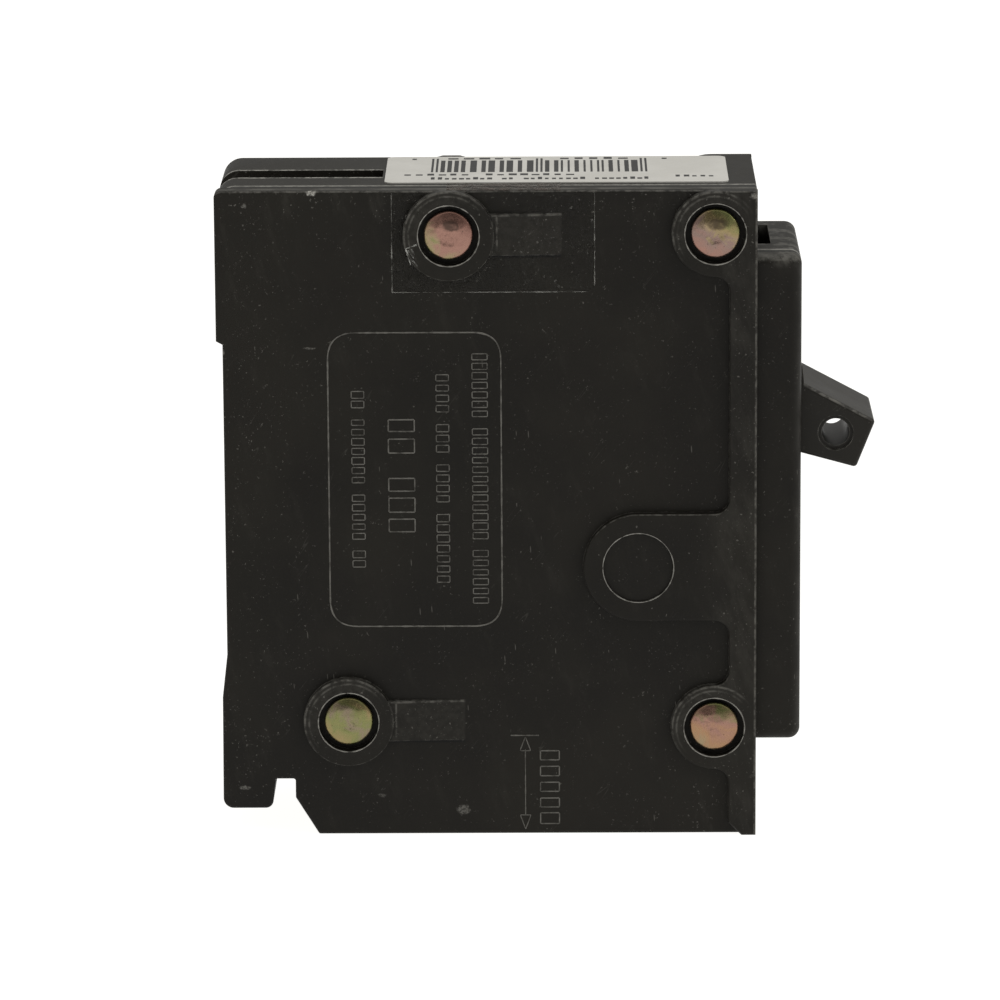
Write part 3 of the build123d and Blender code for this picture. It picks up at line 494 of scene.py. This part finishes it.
def clear_film(name, alpha, tint):
    """Clear adhesive film: thin, nearly invisible, with a satin gloss and trapped dust."""
    p = Paint(name, specular=0.5, ior=1.45)
    haze = p.noise(0.9, 4.0, 0.6)
    flock = p.step(p.noise(2.6, 4.0, 0.7), 0.62, 0.72)
    flock = p.product(flock, p.step(p.noise(0.3), 0.45, 0.62))
    dust = p.most(p.product(p.specks(1.1, 0.13, 0.25), 0.8), flock)
    clear = p.step(haze, 0.42, 0.62, alpha * 0.12, alpha)
    p.set(
        base_color=p.mix(dust, tint, rgb(0.42, 0.42, 0.39)),
        roughness=p.step(haze, 0.3, 0.7, 0.28, 0.42),
        alpha=p.math("ADD", clear, p.product(dust, 0.22), clamp=True),
        normal=p.bump(p.noise(0.6, 3.0), 0.03, 0.5),
    )
    return p.material


# ----------------------------------------------------------------- mesh kit
def piece(name, verts, faces, material, body="case", smooth=True):
    """A mesh from millimetre points, riding on a CAD body."""
    mesh = bpy.data.meshes.new(name)
    mesh.from_pydata([Vector(v) * MM for v in verts], [], faces)
    mesh.validate()
    mesh.polygons.foreach_set("use_smooth", [smooth] * len(mesh.polygons))
    mesh.materials.append(material)
    made = bpy.data.objects.new(name, mesh)
    bpy.context.scene.collection.objects.link(made)
    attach(made, body)
    return made


def tube(verts, faces, path, radius, sides=6, closed=True, ragged=0.0, seed=0.0):
    """Adds a round bead along a path that lies flat on the broad side."""
    across = Vector((0, 1, 0))
    start = len(verts)
    count = len(path)
    for i, point in enumerate(path):
        ahead = path[(i + 1) % count] if closed or i + 1 < count else point
        behind = path[i - 1] if closed or i > 0 else point
        along = (ahead - behind).normalized()
        out = along.cross(across).normalized()
        r = radius
        if ragged:
            r *= 1 + ragged * noise.noise(point * 1.7 + Vector((seed, 0, 0)))
        for k in range(sides):
            turn = 2 * math.pi * k / sides
            verts.append(point + (out * math.cos(turn) + across * math.sin(turn)) * r)
    loops = count if closed else count - 1
    for i in range(loops):
        a, b = start + i * sides, start + ((i + 1) % count) * sides
        for k in range(sides):
            n = (k + 1) % sides
            faces.append((a + k, b + k, b + n, a + n))
    if not closed:
        faces.append(tuple(start + k for k in range(sides)))
        faces.append(tuple(start + (count - 1) * sides + k for k in reversed(range(sides))))


def rounded(corners, radius, steps=4):
    """A closed outline with its corners rounded, each by steps short runs."""
    made = []
    count = len(corners)
    for i, corner in enumerate(corners):
        before, after = corners[i - 1], corners[(i + 1) % count]
        start = corner + (before - corner).normalized() * radius
        end = corner + (after - corner).normalized() * radius
        for k in range(steps + 1):
            t = k / steps
            made.append(start.lerp(corner, t).lerp(corner.lerp(end, t), t))
    return made


def resampled(path, spacing, closed=True):
    """The same path, with a point about every spacing millimetres."""
    made = []
    pairs = list(zip(path, path[1:] + ([path[0]] if closed else [])))
    for a, b in pairs:
        parts = max(1, round((b - a).length / spacing))
        made += [a.lerp(b, k / parts) for k in range(parts)]
    if not closed:
        made.append(path[-1])
    return made


def circle(setback, z, radius, y, count=96):
    centre = place(setback, z, y)
    turns = [2 * math.pi * k / count for k in range(count)]
    return [centre + Vector((math.cos(t), 0, math.sin(t))) * radius for t in turns]


def box_outline(setback, z, wide, tall, y=SIDE_Y):
    """Corners of an upright rectangle, wide along the setback and tall along z."""
    return [
        place(setback + across * wide / 2, z + up * tall / 2, y)
        for across, up in ((-1, -1), (1, -1), (1, 1), (-1, 1))
    ]


# ---------------------------------------------------------------- materials
NICKS = [                       # (setback, height, y, half length, half height, strength)
    (50.9, TOP_Z - 0.25, PARTING_Y - 2.4, 0.75, 0.4, 0.95),
    (61.4, 57.4, SIDE_Y, 0.35, 0.35, 0.4),
    (0.35, 75.6, PAD_Y, 0.7, 0.36, 0.42),
    (59.5, 5.65, SIDE_Y, 0.7, 0.28, 0.3),
    (34.1, 2.95, SIDE_Y, 0.9, 0.7, 0.26),
    (58.6, 74.5, SIDE_Y, 0.4, 0.26, 0.3),
    (51.3, 57.9, SIDE_Y, 0.9, 0.16, 0.25),
    (43.5, 4.7, SIDE_Y, 0.5, 0.25, 0.16),
]
case_material = phenolic("phenolic_case", nicks=NICKS)
# the handle gets stronger edge wear and a stronger painted highlight on its upward-facing rounds
handle_material = phenolic(
    "phenolic_handle", edge_wear_and_highlight=1.5, seed=(31, 7, 3), case=False,
    specular=0.20, gloss=0.36, dusty=0.6,
)
line_material = moulded_line("moulded_line_rubbed", light=0.42)
flash_material = moulded_line("moulding_flash", light=0.9)
zinc = metal(
    "zinc_plated_steel", rgb(0.56, 0.56, 0.55), rgb(0.66, 0.66, 0.67), 0.36, spots=0.3,
)
spring = metal("spring_steel_bright", rgb(0.36, 0.37, 0.40), rgb(0.46, 0.46, 0.47), 0.28)
copper = metal(
    "bare_copper_strip", rgb(0.72, 0.36, 0.22), rgb(0.60, 0.30, 0.20), 0.34, spots=0.4,
)
tinned = metal(
    "tin_plated_copper", rgb(0.66, 0.65, 0.62), rgb(0.58, 0.57, 0.55), 0.38, spots=0.2,
)
silver = metal(
    "silver_contact_alloy", rgb(0.74, 0.73, 0.70), rgb(0.62, 0.60, 0.56), 0.42,
    grain_along=(1, 1, 1), spots=0.5,
)
thermal = metal(
    "bimetal_rolled", rgb(0.52, 0.49, 0.44), rgb(0.60, 0.56, 0.50), 0.33,
    grain_along=(0.15, 3, 3), spots=0.25,
)
screw_zinc = metal(
    "screw_yellow_zinc", rgb(0.66, 0.55, 0.30), rgb(0.66, 0.44, 0.34), 0.32,
    grain_along=(1, 1, 1), spots=0.2,
)
braid = braided("copper_braid_weave", rgb(0.74, 0.38, 0.24), rgb(0.28, 0.11, 0.06))

finishes = {
    "base_shell": case_material, "cover_shell": case_material, "handle": handle_material,
    "case_rivets": screw_zinc, "contact_arm": copper, "moving_contact": silver, "cradle": zinc,
    "cradle_pin": spring, "toggle_spring": spring, "line_clip": tinned, "clip_spring": spring,
    "line_conductor": copper, "fixed_contact": silver, "arc_plates": zinc,
    "arc_liners": fibre("vulcan_fibre_red"), "trip_frame": zinc, "armature": zinc,
    "armature_spring": spring, "bimetal": thermal, "magnet_yoke": zinc,
    "flexible_shunt": braid, "load_strap": tinned, "terminal_screw": screw_zinc,
    "pressure_plate": zinc, "rating_label": paper("label_stock"),
    "clear_seal": clear_film("seal_film", 0.02, rgb(0.03, 0.03, 0.027)),
}
for name, material in finishes.items():
    nodes[name].data.materials.clear()
    nodes[name].data.materials.append(material)

# ------------------------------------------------------- rivets, spun heads
HEAD_Y = 11.0
SHANK_R = 1.95
HEAD_PROFILE = [                # (radius, rise) from the seat to the dished middle
    (SHANK_R, 0.0), (2.72, 0.0), (2.78, 0.08), (2.80, 0.40), (2.80, 0.78),
    (2.775, 0.85), (2.71, 0.905), (2.60, 0.95), (2.42, 1.00), (2.20, 1.055),
    (1.96, 1.105), (1.76, 1.145), (1.58, 1.175), (1.42, 1.19), (1.28, 1.188),
    (1.10, 1.172), (0.88, 1.155), (0.62, 1.143), (0.38, 1.136), (0.16, 1.134),
]
PINK, ROSE = (0.30, 0.165, 0.13), (0.24, 0.125, 0.10)
GOLD, STRAW = (0.27, 0.21, 0.10), (0.29, 0.22, 0.13)
GREEN, LILAC = (0.19, 0.195, 0.075), (0.24, 0.165, 0.14)
ORANGE, TAN = (0.33, 0.19, 0.105), (0.23, 0.18, 0.125)
# Each head: colours along its lean, the lean in degrees, and how strong the painted dark
# reflection just above its middle is.
CHROMATES = {
    "rivet_line_back": (
        [(0.0, GREEN), (0.2, STRAW), (0.42, PINK), (0.7, PINK), (1.0, ROSE)], 38, 1.0),
    "rivet_line_front": (
        [(0.0, PINK), (0.38, LILAC), (0.52, STRAW), (0.72, GOLD), (1.0, GREEN)], 52, 1.0),
    "rivet_load_front": (
        [(0.0, STRAW), (0.3, ORANGE), (0.65, PINK), (1.0, GREEN)], 78, 0.4),
    "rivet_load_back": (
        [(0.0, GOLD), (0.3, GREEN), (0.52, TAN), (0.75, GREEN), (1.0, GOLD)], 40, 0.2),
}


def spun_rivet(name, setback, z, seed, segments=72):
    """A rivet headed at both ends: domed heads with a dished middle and hammer marks."""
    profile = [(r, -(HEAD_Y + rise)) for r, rise in reversed(HEAD_PROFILE)]
    profile += [(SHANK_R, -HEAD_Y + 0.4), (SHANK_R, HEAD_Y - 0.4)]
    profile += [(r, HEAD_Y + rise) for r, rise in HEAD_PROFILE]
    verts, faces = [], []
    for radius, y in profile:
        for k in range(segments):
            turn = 2 * math.pi * k / segments
            point = Vector((radius * math.cos(turn), y, radius * math.sin(turn)))
            if abs(y) > HEAD_Y + 0.2:
                mark = Vector((seed * 7.3, 0, 0)) + point
                dent = 0.035 * noise.noise(mark * 0.75) + 0.014 * noise.noise(mark * 2.3)
                point.y += math.copysign(dent, -y)
                edge = 0.02 * noise.noise(mark * 0.9 + Vector((0, 40, 0)))
                point.x *= 1 + edge
                point.z *= 1 + edge
            verts.append(place(setback, z, 0) + point)
    rings = len(profile)
    for i in range(rings - 1):
        for k in range(segments):
            n = (k + 1) % segments
            a, b = i * segments, (i + 1) * segments
            faces.append((a + k, b + k, b + n, a + n))
    for ring, y in ((0, profile[0][1]), (rings - 1, profile[-1][1])):
        verts.append(place(setback, z, y))
        middle = len(verts) - 1
        for k in range(segments):
            pair = (ring * segments + k, ring * segments + (k + 1) % segments)
            faces.append((middle, *pair) if ring == 0 else (middle, *reversed(pair)))
    stops, lean, stain = CHROMATES[name]
    shade = chromate(
        "chromate_" + name, place(setback, z, 0), stops, math.radians(lean), stain,
        (seed * 13, 5, 0),
    )
    made = piece(name, verts, faces, shade)
    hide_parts("case_rivets")
    return made


for number, (name, (setback, z)) in enumerate(RIVETS.items()):
    spun_rivet(name, setback, z, number + 1)

# ------------------------- flash rings round the wells and the round recess
WELL_FLASH_R, RECESS_FLASH_R = 0.07, 0.055
verts, faces = [], []
for number, (setback, z) in enumerate(RIVETS.values()):
    for y in (PAD_Y + 0.04, -PAD_Y - 0.04):
        ring = circle(setback, z, WELL_R + 0.02, y)
        tube(verts, faces, ring, WELL_FLASH_R, ragged=0.8, seed=number * 9 + y)
for sign in (1, -1):
    ring = circle(*KNOCKOUT, KNOCKOUT_R, sign * (PAD_Y + 0.03))
    tube(verts, faces, ring, RECESS_FLASH_R, ragged=0.9, seed=50 + sign)
piece("well_flash", verts, faces, flash_material)

# ------------------------------------------------ moulded panel on the cover
PANEL_BACK, PANEL_FRONT = 49.3, 29.4
PANEL_LOW, PANEL_HIGH = 25.0, 59.7
PANEL_ROUND = 3.2
LINE_R = 0.10
LARGE_BOX_R, SMALL_BOX_R, GAUGE_BOX_R = 0.095, 0.075, 0.09
LINE_Y = SIDE_Y + 0.02       # moulded lines stand half out of the broad side
panel_middle = ((PANEL_BACK + PANEL_FRONT) / 2, (PANEL_LOW + PANEL_HIGH) / 2)
panel_size = (PANEL_BACK - PANEL_FRONT, PANEL_HIGH - PANEL_LOW)
verts, faces = [], []
outline = rounded(box_outline(*panel_middle, *panel_size, LINE_Y), PANEL_ROUND, 10)
tube(verts, faces, resampled(outline, 0.5), LINE_R, ragged=0.5, seed=3)
piece("panel_outline", verts, faces, line_material)

# Rows of blank outline boxes stand where the real moulding carries wording:
# (setback, box height, top, bottom, boxes in each group).
PANEL_ROWS = [
    (31.85, 1.75, 57.4, 27.5, (7, 12, 6)),
    (36.15, 1.45, 55.0, 30.0, (4, 3, 4, 7)),
    (40.9, 3.0, 50.0, 35.8, (2, 3)),
    (45.9, 1.45, 53.0, 31.9, (2, 7, 5, 2)),
]


def blank_row(verts, faces, setback, height, top, bottom, groups, bead, rng):
    """A row of small blank boxes running down the side, with a gap between groups."""
    gap = 0.9
    pitch = (top - bottom) / (sum(groups) + gap * (len(groups) - 1))
    z = top
    for group in groups:
        for _ in range(group):
            wide = pitch * rng.uniform(0.56, 0.72)
            middle = z - pitch / 2
            corners = box_outline(setback, middle, height, wide, LINE_Y)
            tube(verts, faces, rounded(corners, 0.07, 1), bead)
            z -= pitch
        z -= pitch * gap


rng = random.Random(11)
verts, faces = [], []
for setback, height, top, bottom, groups in PANEL_ROWS:
    bead = LARGE_BOX_R if height > 2 else SMALL_BOX_R
    blank_row(verts, faces, setback, height, top, bottom, groups, bead, rng)
piece("panel_blank_rows", verts, faces, line_material)

# ------------------------------------------------- strip gauge by the foot
GAUGE_SETBACK = 26.8
GAUGE_TOP, GAUGE_LOW = 11.86, 0.5
TICK_BACK, TICK_FRONT = 28.5, 25.2
ARROW_LENGTH, ARROW_HALF = 1.7, 0.62
TICK_R, ARROW_R = 0.085, 0.075
GAUGE_ROW = (23.95, 2.2, 10.4, 0.9, (5,))    # a row beside the arrow, laid out as above
verts, faces = [], []
tick = [place(setback, GAUGE_TOP, LINE_Y) for setback in (TICK_BACK, TICK_FRONT)]
tube(verts, faces, resampled(tick, 0.3, closed=False), TICK_R, closed=False, ragged=0.5)
stem = [
    place(GAUGE_SETBACK, z, LINE_Y)
    for z in (GAUGE_TOP - ARROW_LENGTH, GAUGE_LOW + ARROW_LENGTH)
]
tube(verts, faces, resampled(stem, 0.3, closed=False), ARROW_R, closed=False, ragged=0.5)
for tip_z, sign in ((GAUGE_TOP - 0.15, -1), (GAUGE_LOW + 0.05, 1)):
    base_z = tip_z + sign * ARROW_LENGTH
    head = [place(GAUGE_SETBACK, tip_z, LINE_Y)]
    head += [place(GAUGE_SETBACK + side, base_z, LINE_Y) for side in (-ARROW_HALF, ARROW_HALF)]
    tube(verts, faces, rounded(head, 0.12, 2), ARROW_R, sides=5)
blank_row(verts, faces, *GAUGE_ROW, GAUGE_BOX_R, rng)
piece("strip_gauge", verts, faces, line_material)

# ------------------------------------------------------------ label printing
INK_THICK, INK_SUNK = 0.012, 0.004
BARCODE_FRONT = 12.4
BARCODE_Y, BARS_END, GUARDS_END = -0.1, 7.7, 9.0
MODULE = 0.264               # the narrowest bar's width
GUARDS = (0, 2, 46, 48, 92, 94)
BAR_FIELDS = ((4, 45), (50, 91))
ink_material = ink("label_ink")


def printed(verts, faces, setback_a, setback_b, y_a, y_b):
    """A thin printed block on the label."""
    start = len(verts)
    corners = ((setback_a, y_a), (setback_b, y_a), (setback_b, y_b), (setback_a, y_b))
    for z in (LABEL_Z - INK_SUNK, LABEL_Z + INK_THICK):
        verts += [place(setback, z, y) for setback, y in corners]
    sides = [(k, 4 + k, 4 + (k + 1) % 4, (k + 1) % 4) for k in range(4)]
    for quad in ((0, 1, 2, 3), (7, 6, 5, 4), *sides):
        faces.append(tuple(start + k for k in quad))


rng = random.Random(29)
verts, faces = [], []
bars = [(g, 1, True) for g in GUARDS]
for low, high in BAR_FIELDS:
    at_module = low
    while at_module < high:
        wide = rng.choice((1, 1, 2, 2, 3))
        wide = min(wide, high - at_module)
        bars.append((at_module, wide, False))
        at_module += wide + rng.choice((1, 1, 2, 2))
for start, wide, guard in bars:
    a = BARCODE_FRONT + start * MODULE
    end = GUARDS_END if guard else BARS_END
    printed(verts, faces, a, a + wide * MODULE * 0.96, BARCODE_Y, end)
piece("label_barcode", verts, faces, ink_material, smooth=False)


def solid_row(verts, faces, setback, end, y, height, groups, rng):
    """A printed row of tiny solid blocks standing for small print."""
    space = 1.1
    pitch = (setback - end) / (sum(groups) + space * (len(groups) - 1))
    x = setback
    for group in groups:
        for _ in range(group):
            tall = height * rng.choice((0.62, 0.62, 0.8, 1.0))
            printed(verts, faces, x, x - pitch * rng.uniform(0.5, 0.72), y, y + tall)
            x -= pitch
        x -= pitch * space


PRINT_ROWS = [                  # (back end, front end, y, tallest block, blocks in each group)
    (37.4, 12.0, -5.0, 1.5, (9, 2, 9, 8)),
    (40.5, 20.5, -2.3, 1.2, (6, 8)),
    (9.2, 4.4, -3.6, 1.2, (5,)),
    (35.6, 26.5, 8.5, 1.35, (5,)),
    (22.5, 14.0, 8.5, 1.35, (5,)),
    (39.8, 39.0, 8.3, 1.3, (1,)),
    (10.6, 9.8, 8.3, 1.3, (1,)),
]
verts, faces = [], []
for row in PRINT_ROWS:
    solid_row(verts, faces, *row, rng)
piece("label_small_print", verts, faces, ink_material, smooth=False)

# --------------------------------------------------------------- clear seal
SEAL_BACK, SEAL_FRONT, SEAL_LOW = 41.8, 18.6, 64.4
SEAL_RIVET = RIVETS["rivet_line_back"]
SEAL_PAD_R = PAD_R["rivet_line_back"]
SEAL_TAB = TAB_REACH["rivet_line_back"]
SEAL_HIGH = TOP_Z - 0.25
SEAL_CORNER = 0.8
FILM_THICK = 0.03
FILM_STEP = 0.28
FILM_GAP = 0.035             # between the film and the moulding
RIM_R, CREASE_R = 0.05, 0.07
film_material = finishes["clear_seal"]
edge_material = clear_film("seal_film_edge", 0.36, rgb(0.36, 0.36, 0.33))
crease_material = clear_film("seal_film_crease", 0.65, rgb(0.50, 0.50, 0.47))


def ease(value, low, high):
    """Smoothly 0 at low to 1 at high, which may be the smaller."""
    t = min(1.0, max(0.0, (value - low) / (high - low)))
    return t * t * (3 - 2 * t)


def film_rise(setback, z):
    """How far the film stands off the side face, where it drapes over the pad and tab."""
    off = Vector((SEAL_RIVET[0] - setback, z - SEAL_RIVET[1]))
    turn = math.degrees(math.atan2(off.y, off.x))
    bridge = 1.9 * ease(abs(turn + 148), 30, 12)       # it tents over the lower back corner
    pad = PAD_HEIGHT * ease(off.length, SEAL_PAD_R + 0.35 + bridge, SEAL_PAD_R - 0.15)
    ramp = TAB_RISE * max(0.0, 1 - off.x / SEAL_TAB) if off.x > 0 else 0.0
    tab = ramp * ease(abs(off.y), TAB_HALF + 0.25, TAB_HALF - 0.05)
    return max(pad, tab)


columns = round((SEAL_BACK - SEAL_FRONT) / FILM_STEP)
rows = round((SEAL_HIGH - SEAL_LOW) / FILM_STEP)
verts, faces, index = [], [], {}


def film_point(i, j):
    """The setback and height of a grid point, with the lower front corner rounded."""
    setback = SEAL_FRONT + (SEAL_BACK - SEAL_FRONT) * i / columns
    z = SEAL_LOW + (SEAL_HIGH - SEAL_LOW) * j / rows
    near = Vector((setback - SEAL_FRONT, z - SEAL_LOW))
    if near.x < SEAL_CORNER and near.y < SEAL_CORNER:
        middle = Vector((SEAL_CORNER, SEAL_CORNER))
        out = middle - near
        near = middle - out * max(out.x, out.y) / out.length
        setback, z = near.x + SEAL_FRONT, near.y + SEAL_LOW
    return setback, z


for i in range(columns + 1):
    for j in range(rows + 1):
        setback, z = film_point(i, j)
        index[i, j] = len(verts)
        lift = min(film_rise(setback, z) + FILM_GAP, PAD_HEIGHT - 0.01)
        verts.append(place(setback, z, SIDE_Y - lift))
for i in range(columns):
    for j in range(rows):
        setback, z = film_point(i + 0.5, j + 0.5)
        off = Vector((setback - SEAL_RIVET[0], z - SEAL_RIVET[1])).length
        if off > WELL_R + 0.25:
            faces.append((index[i, j], index[i, j + 1], index[i + 1, j + 1], index[i + 1, j]))
film = piece("seal_film", verts, faces, film_material)
solid = film.modifiers.new("thickness", "SOLIDIFY")
solid.thickness, solid.offset = FILM_THICK * MM, -1.0
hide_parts("clear_seal")

# the film's cut edge catches the light, broken here and there
rim = [film_point(columns, j) for j in range(rows, 0, -1)]
rim += [film_point(i, 0) for i in range(columns, -1, -1)]
rim += [film_point(0, j) for j in range(rows + 1)]
verts, faces = [], []
path = [place(s, z, SIDE_Y - film_rise(s, z) - 0.03) for s, z in rim]
tube(verts, faces, path, RIM_R, sides=5, closed=False, ragged=1.6, seed=4)
piece("seal_film_edge", verts, faces, edge_material)

# where it puckers below the pad: each crease's two ends, as (x, z) from the rivet
CREASES = [
    ((-4.95, -1.45), (-3.60, -0.95)), ((-4.90, -1.50), (-4.05, -2.95)),
    ((-4.60, -1.60), (-3.95, -2.55)), ((-4.25, -1.40), (-3.80, -2.20)),
    ((-4.75, -2.00), (-4.30, -3.30)), ((-4.10, -2.70), (-3.55, -3.45)),
]
verts, faces = [], []
for number, ends in enumerate(CREASES):
    path = []
    for dx, dz in ends:
        setback, z = SEAL_RIVET[0] - dx, SEAL_RIVET[1] + dz
        rise = min(film_rise(setback, z) + 0.05, PAD_HEIGHT - 0.03)
        path.append(place(setback, z, SIDE_Y - rise))
    path = resampled(path, 0.2, closed=False)
    tube(verts, faces, path, CREASE_R, sides=5, closed=False, ragged=1.2, seed=number)
piece("seal_film_creases", verts, faces, crease_material)

# the seal's flap, folded over the line end up to the label
FLAP_FRONT, FLAP_BACK = 22.5, 35.5
FLAP_PARTS = 40
verts, faces = [], []
label_near_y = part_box("rating_label")[0].y / MM
bend = [                        # the flap's (y, z), from the side face to the label
    (SIDE_Y + 0.06, TOP_Z - 0.03), (SIDE_Y + 0.25, TOP_Z + 0.05),
    (SIDE_Y + 0.9, TOP_Z + 0.055), (SIDE_Y + 2.2, TOP_Z + 0.05),
    (SIDE_Y + 3.6, TOP_Z + 0.05), (label_near_y - 0.08, TOP_Z + 0.05),
]
for y, z in bend:
    for k in range(FLAP_PARTS + 1):
        setback = FLAP_FRONT + (FLAP_BACK - FLAP_FRONT) * k / FLAP_PARTS
        ripple = 0.02 * noise.noise(Vector((setback * 0.6, y, 3)))
        verts.append(place(setback, z + (ripple if y > SIDE_Y + 0.5 else 0), y))
for i in range(len(bend) - 1):
    for k in range(FLAP_PARTS):
        a = i * (FLAP_PARTS + 1) + k
        faces.append((a, a + FLAP_PARTS + 1, a + FLAP_PARTS + 2, a + 1))
flap_material = clear_film("seal_flap_film", 0.5, rgb(0.060, 0.043, 0.032))
flap = piece("seal_flap", verts, faces, flap_material)
solid = flap.modifiers.new("thickness", "SOLIDIFY")
solid.thickness, solid.offset = FILM_THICK * MM, 1.0

# ------------------------------------------------------- floor, light, camera
# A light tent: pale all round, with a dark gap on the side of the main view.
CAMERA_MM = Vector((8.02, -706.44, 199.93))
ELEVATION, AZIMUTH, ROLL = (math.radians(a) for a in (12.96, 0.54, -0.33))
LENS_MM, SENSOR_MM = 222.6, 36.0

floor_paint = Paint("floor_pale", roughness=0.9, specular=0.2)
floor_tone = floor_paint.noise(0.01, 2.0)
floor_paint.set(
    base_color=floor_paint.mix(floor_tone, rgb(0.13, 0.13, 0.13), rgb(0.15, 0.15, 0.15)),
    emission_color=rgb(1, 0.99, 0.965), emission_strength=1.0,
)
FLOOR_HALF = 4000.0
FLOOR_Z = cad_box[0].z / MM - 0.05
mesh = bpy.data.meshes.new("floor")
corners = [
    Vector((x * FLOOR_HALF, y * FLOOR_HALF, FLOOR_Z)) * MM
    for x, y in ((-1, -1), (1, -1), (1, 1), (-1, 1))
]
mesh.from_pydata(corners, [], [(0, 1, 2, 3)])
mesh.materials.append(floor_paint.material)
floor = bpy.data.objects.new("floor", mesh)
bpy.context.scene.collection.objects.link(floor)

camera_back = Vector((
    math.sin(AZIMUTH) * math.cos(ELEVATION),
    -math.cos(AZIMUTH) * math.cos(ELEVATION),
    math.sin(ELEVATION),
))
level_right = (-camera_back).cross(Vector((0, 0, 1))).normalized()
level_up = level_right.cross(-camera_back)
right = level_right * math.cos(ROLL) + level_up * math.sin(ROLL)
up = level_up * math.cos(ROLL) - level_right * math.sin(ROLL)
camera = bpy.data.objects.new("camera", bpy.data.cameras.new("camera"))
camera.data.sensor_width = SENSOR_MM
camera.data.lens = LENS_MM
camera.data.clip_start, camera.data.clip_end = 0.02, 50.0
aim = Matrix((right, up, camera_back)).transposed().to_4x4()
camera.matrix_world = Matrix.Translation(CAMERA_MM * MM) @ aim
bpy.context.scene.collection.objects.link(camera)
bpy.context.scene.camera = camera

world = bpy.data.worlds.new("white_tent")
bpy.context.scene.world = world
world.use_nodes = True
tree = world.node_tree
tree.nodes.clear()


def world_node(kind, inputs=None, **properties):
    made = tree.nodes.new("ShaderNode" + kind)
    for key, value in properties.items():
        setattr(made, key, value)
    for key, value in (inputs or {}).items():
        if isinstance(value, bpy.types.NodeSocket):
            tree.links.new(value, made.inputs[key])
        else:
            made.inputs[key].default_value = value
    return made


TENT, OVERHEAD = 0.42, 0.34  # strength level with the object, and what is added overhead
GAP = 0.12                   # what is left of it in the dark gap
direction = world_node("TexCoord").outputs["Generated"]
towards = world_node(
    "VectorMath", {0: direction, 1: tuple(camera_back)}, operation="DOT_PRODUCT",
).outputs["Value"]
gap = world_node("MapRange", {
    "Value": towards, "From Min": 0.90, "From Max": 0.985, "To Min": 1.0, "To Max": GAP,
}, interpolation_type="SMOOTHSTEP").outputs[0]
height = world_node("SeparateXYZ", {0: direction}).outputs[2]
sky = world_node("MapRange", {
    "Value": height, "From Min": 0.1, "From Max": 0.95,
    "To Min": TENT, "To Max": TENT + OVERHEAD,
}).outputs[0]
tent = world_node("Math", {0: sky, 1: gap}, operation="MULTIPLY").outputs[0]
lit = world_node("Background", {"Color": rgb(1, 0.985, 0.94), "Strength": tent}).outputs[0]
seen = world_node("Background", {"Color": rgb(1, 1, 1), "Strength": 1.05}).outputs[0]
ray = world_node("LightPath").outputs["Is Camera Ray"]
mixed = world_node("MixShader", {0: ray, 1: lit, 2: seen}).outputs[0]
world_node("OutputWorld", {"Surface": mixed})


def soft_light(name, place_mm, target_mm, size_mm, power):
    """A soft rectangular light aimed at a point."""
    data = bpy.data.lights.new(name, "AREA")
    data.shape = "RECTANGLE"
    data.size, data.size_y = size_mm[0] * MM, size_mm[1] * MM
    data.energy = power
    made = bpy.data.objects.new(name, data)
    made.location = Vector(place_mm) * MM
    towards_target = Vector(target_mm) - Vector(place_mm)
    made.rotation_mode = "QUATERNION"
    made.rotation_quaternion = towards_target.to_track_quat("-Z", "Y")
    bpy.context.scene.collection.objects.link(made)


soft_light("overhead", (0, 60, 700), (0, 0, 40), size_mm=(600, 420), power=1.75)
soft_light("right_front", (520, -330, 420), (20, 0, 45), size_mm=(220, 300), power=1.1)

bpy.context.scene.view_settings.view_transform = "Standard"
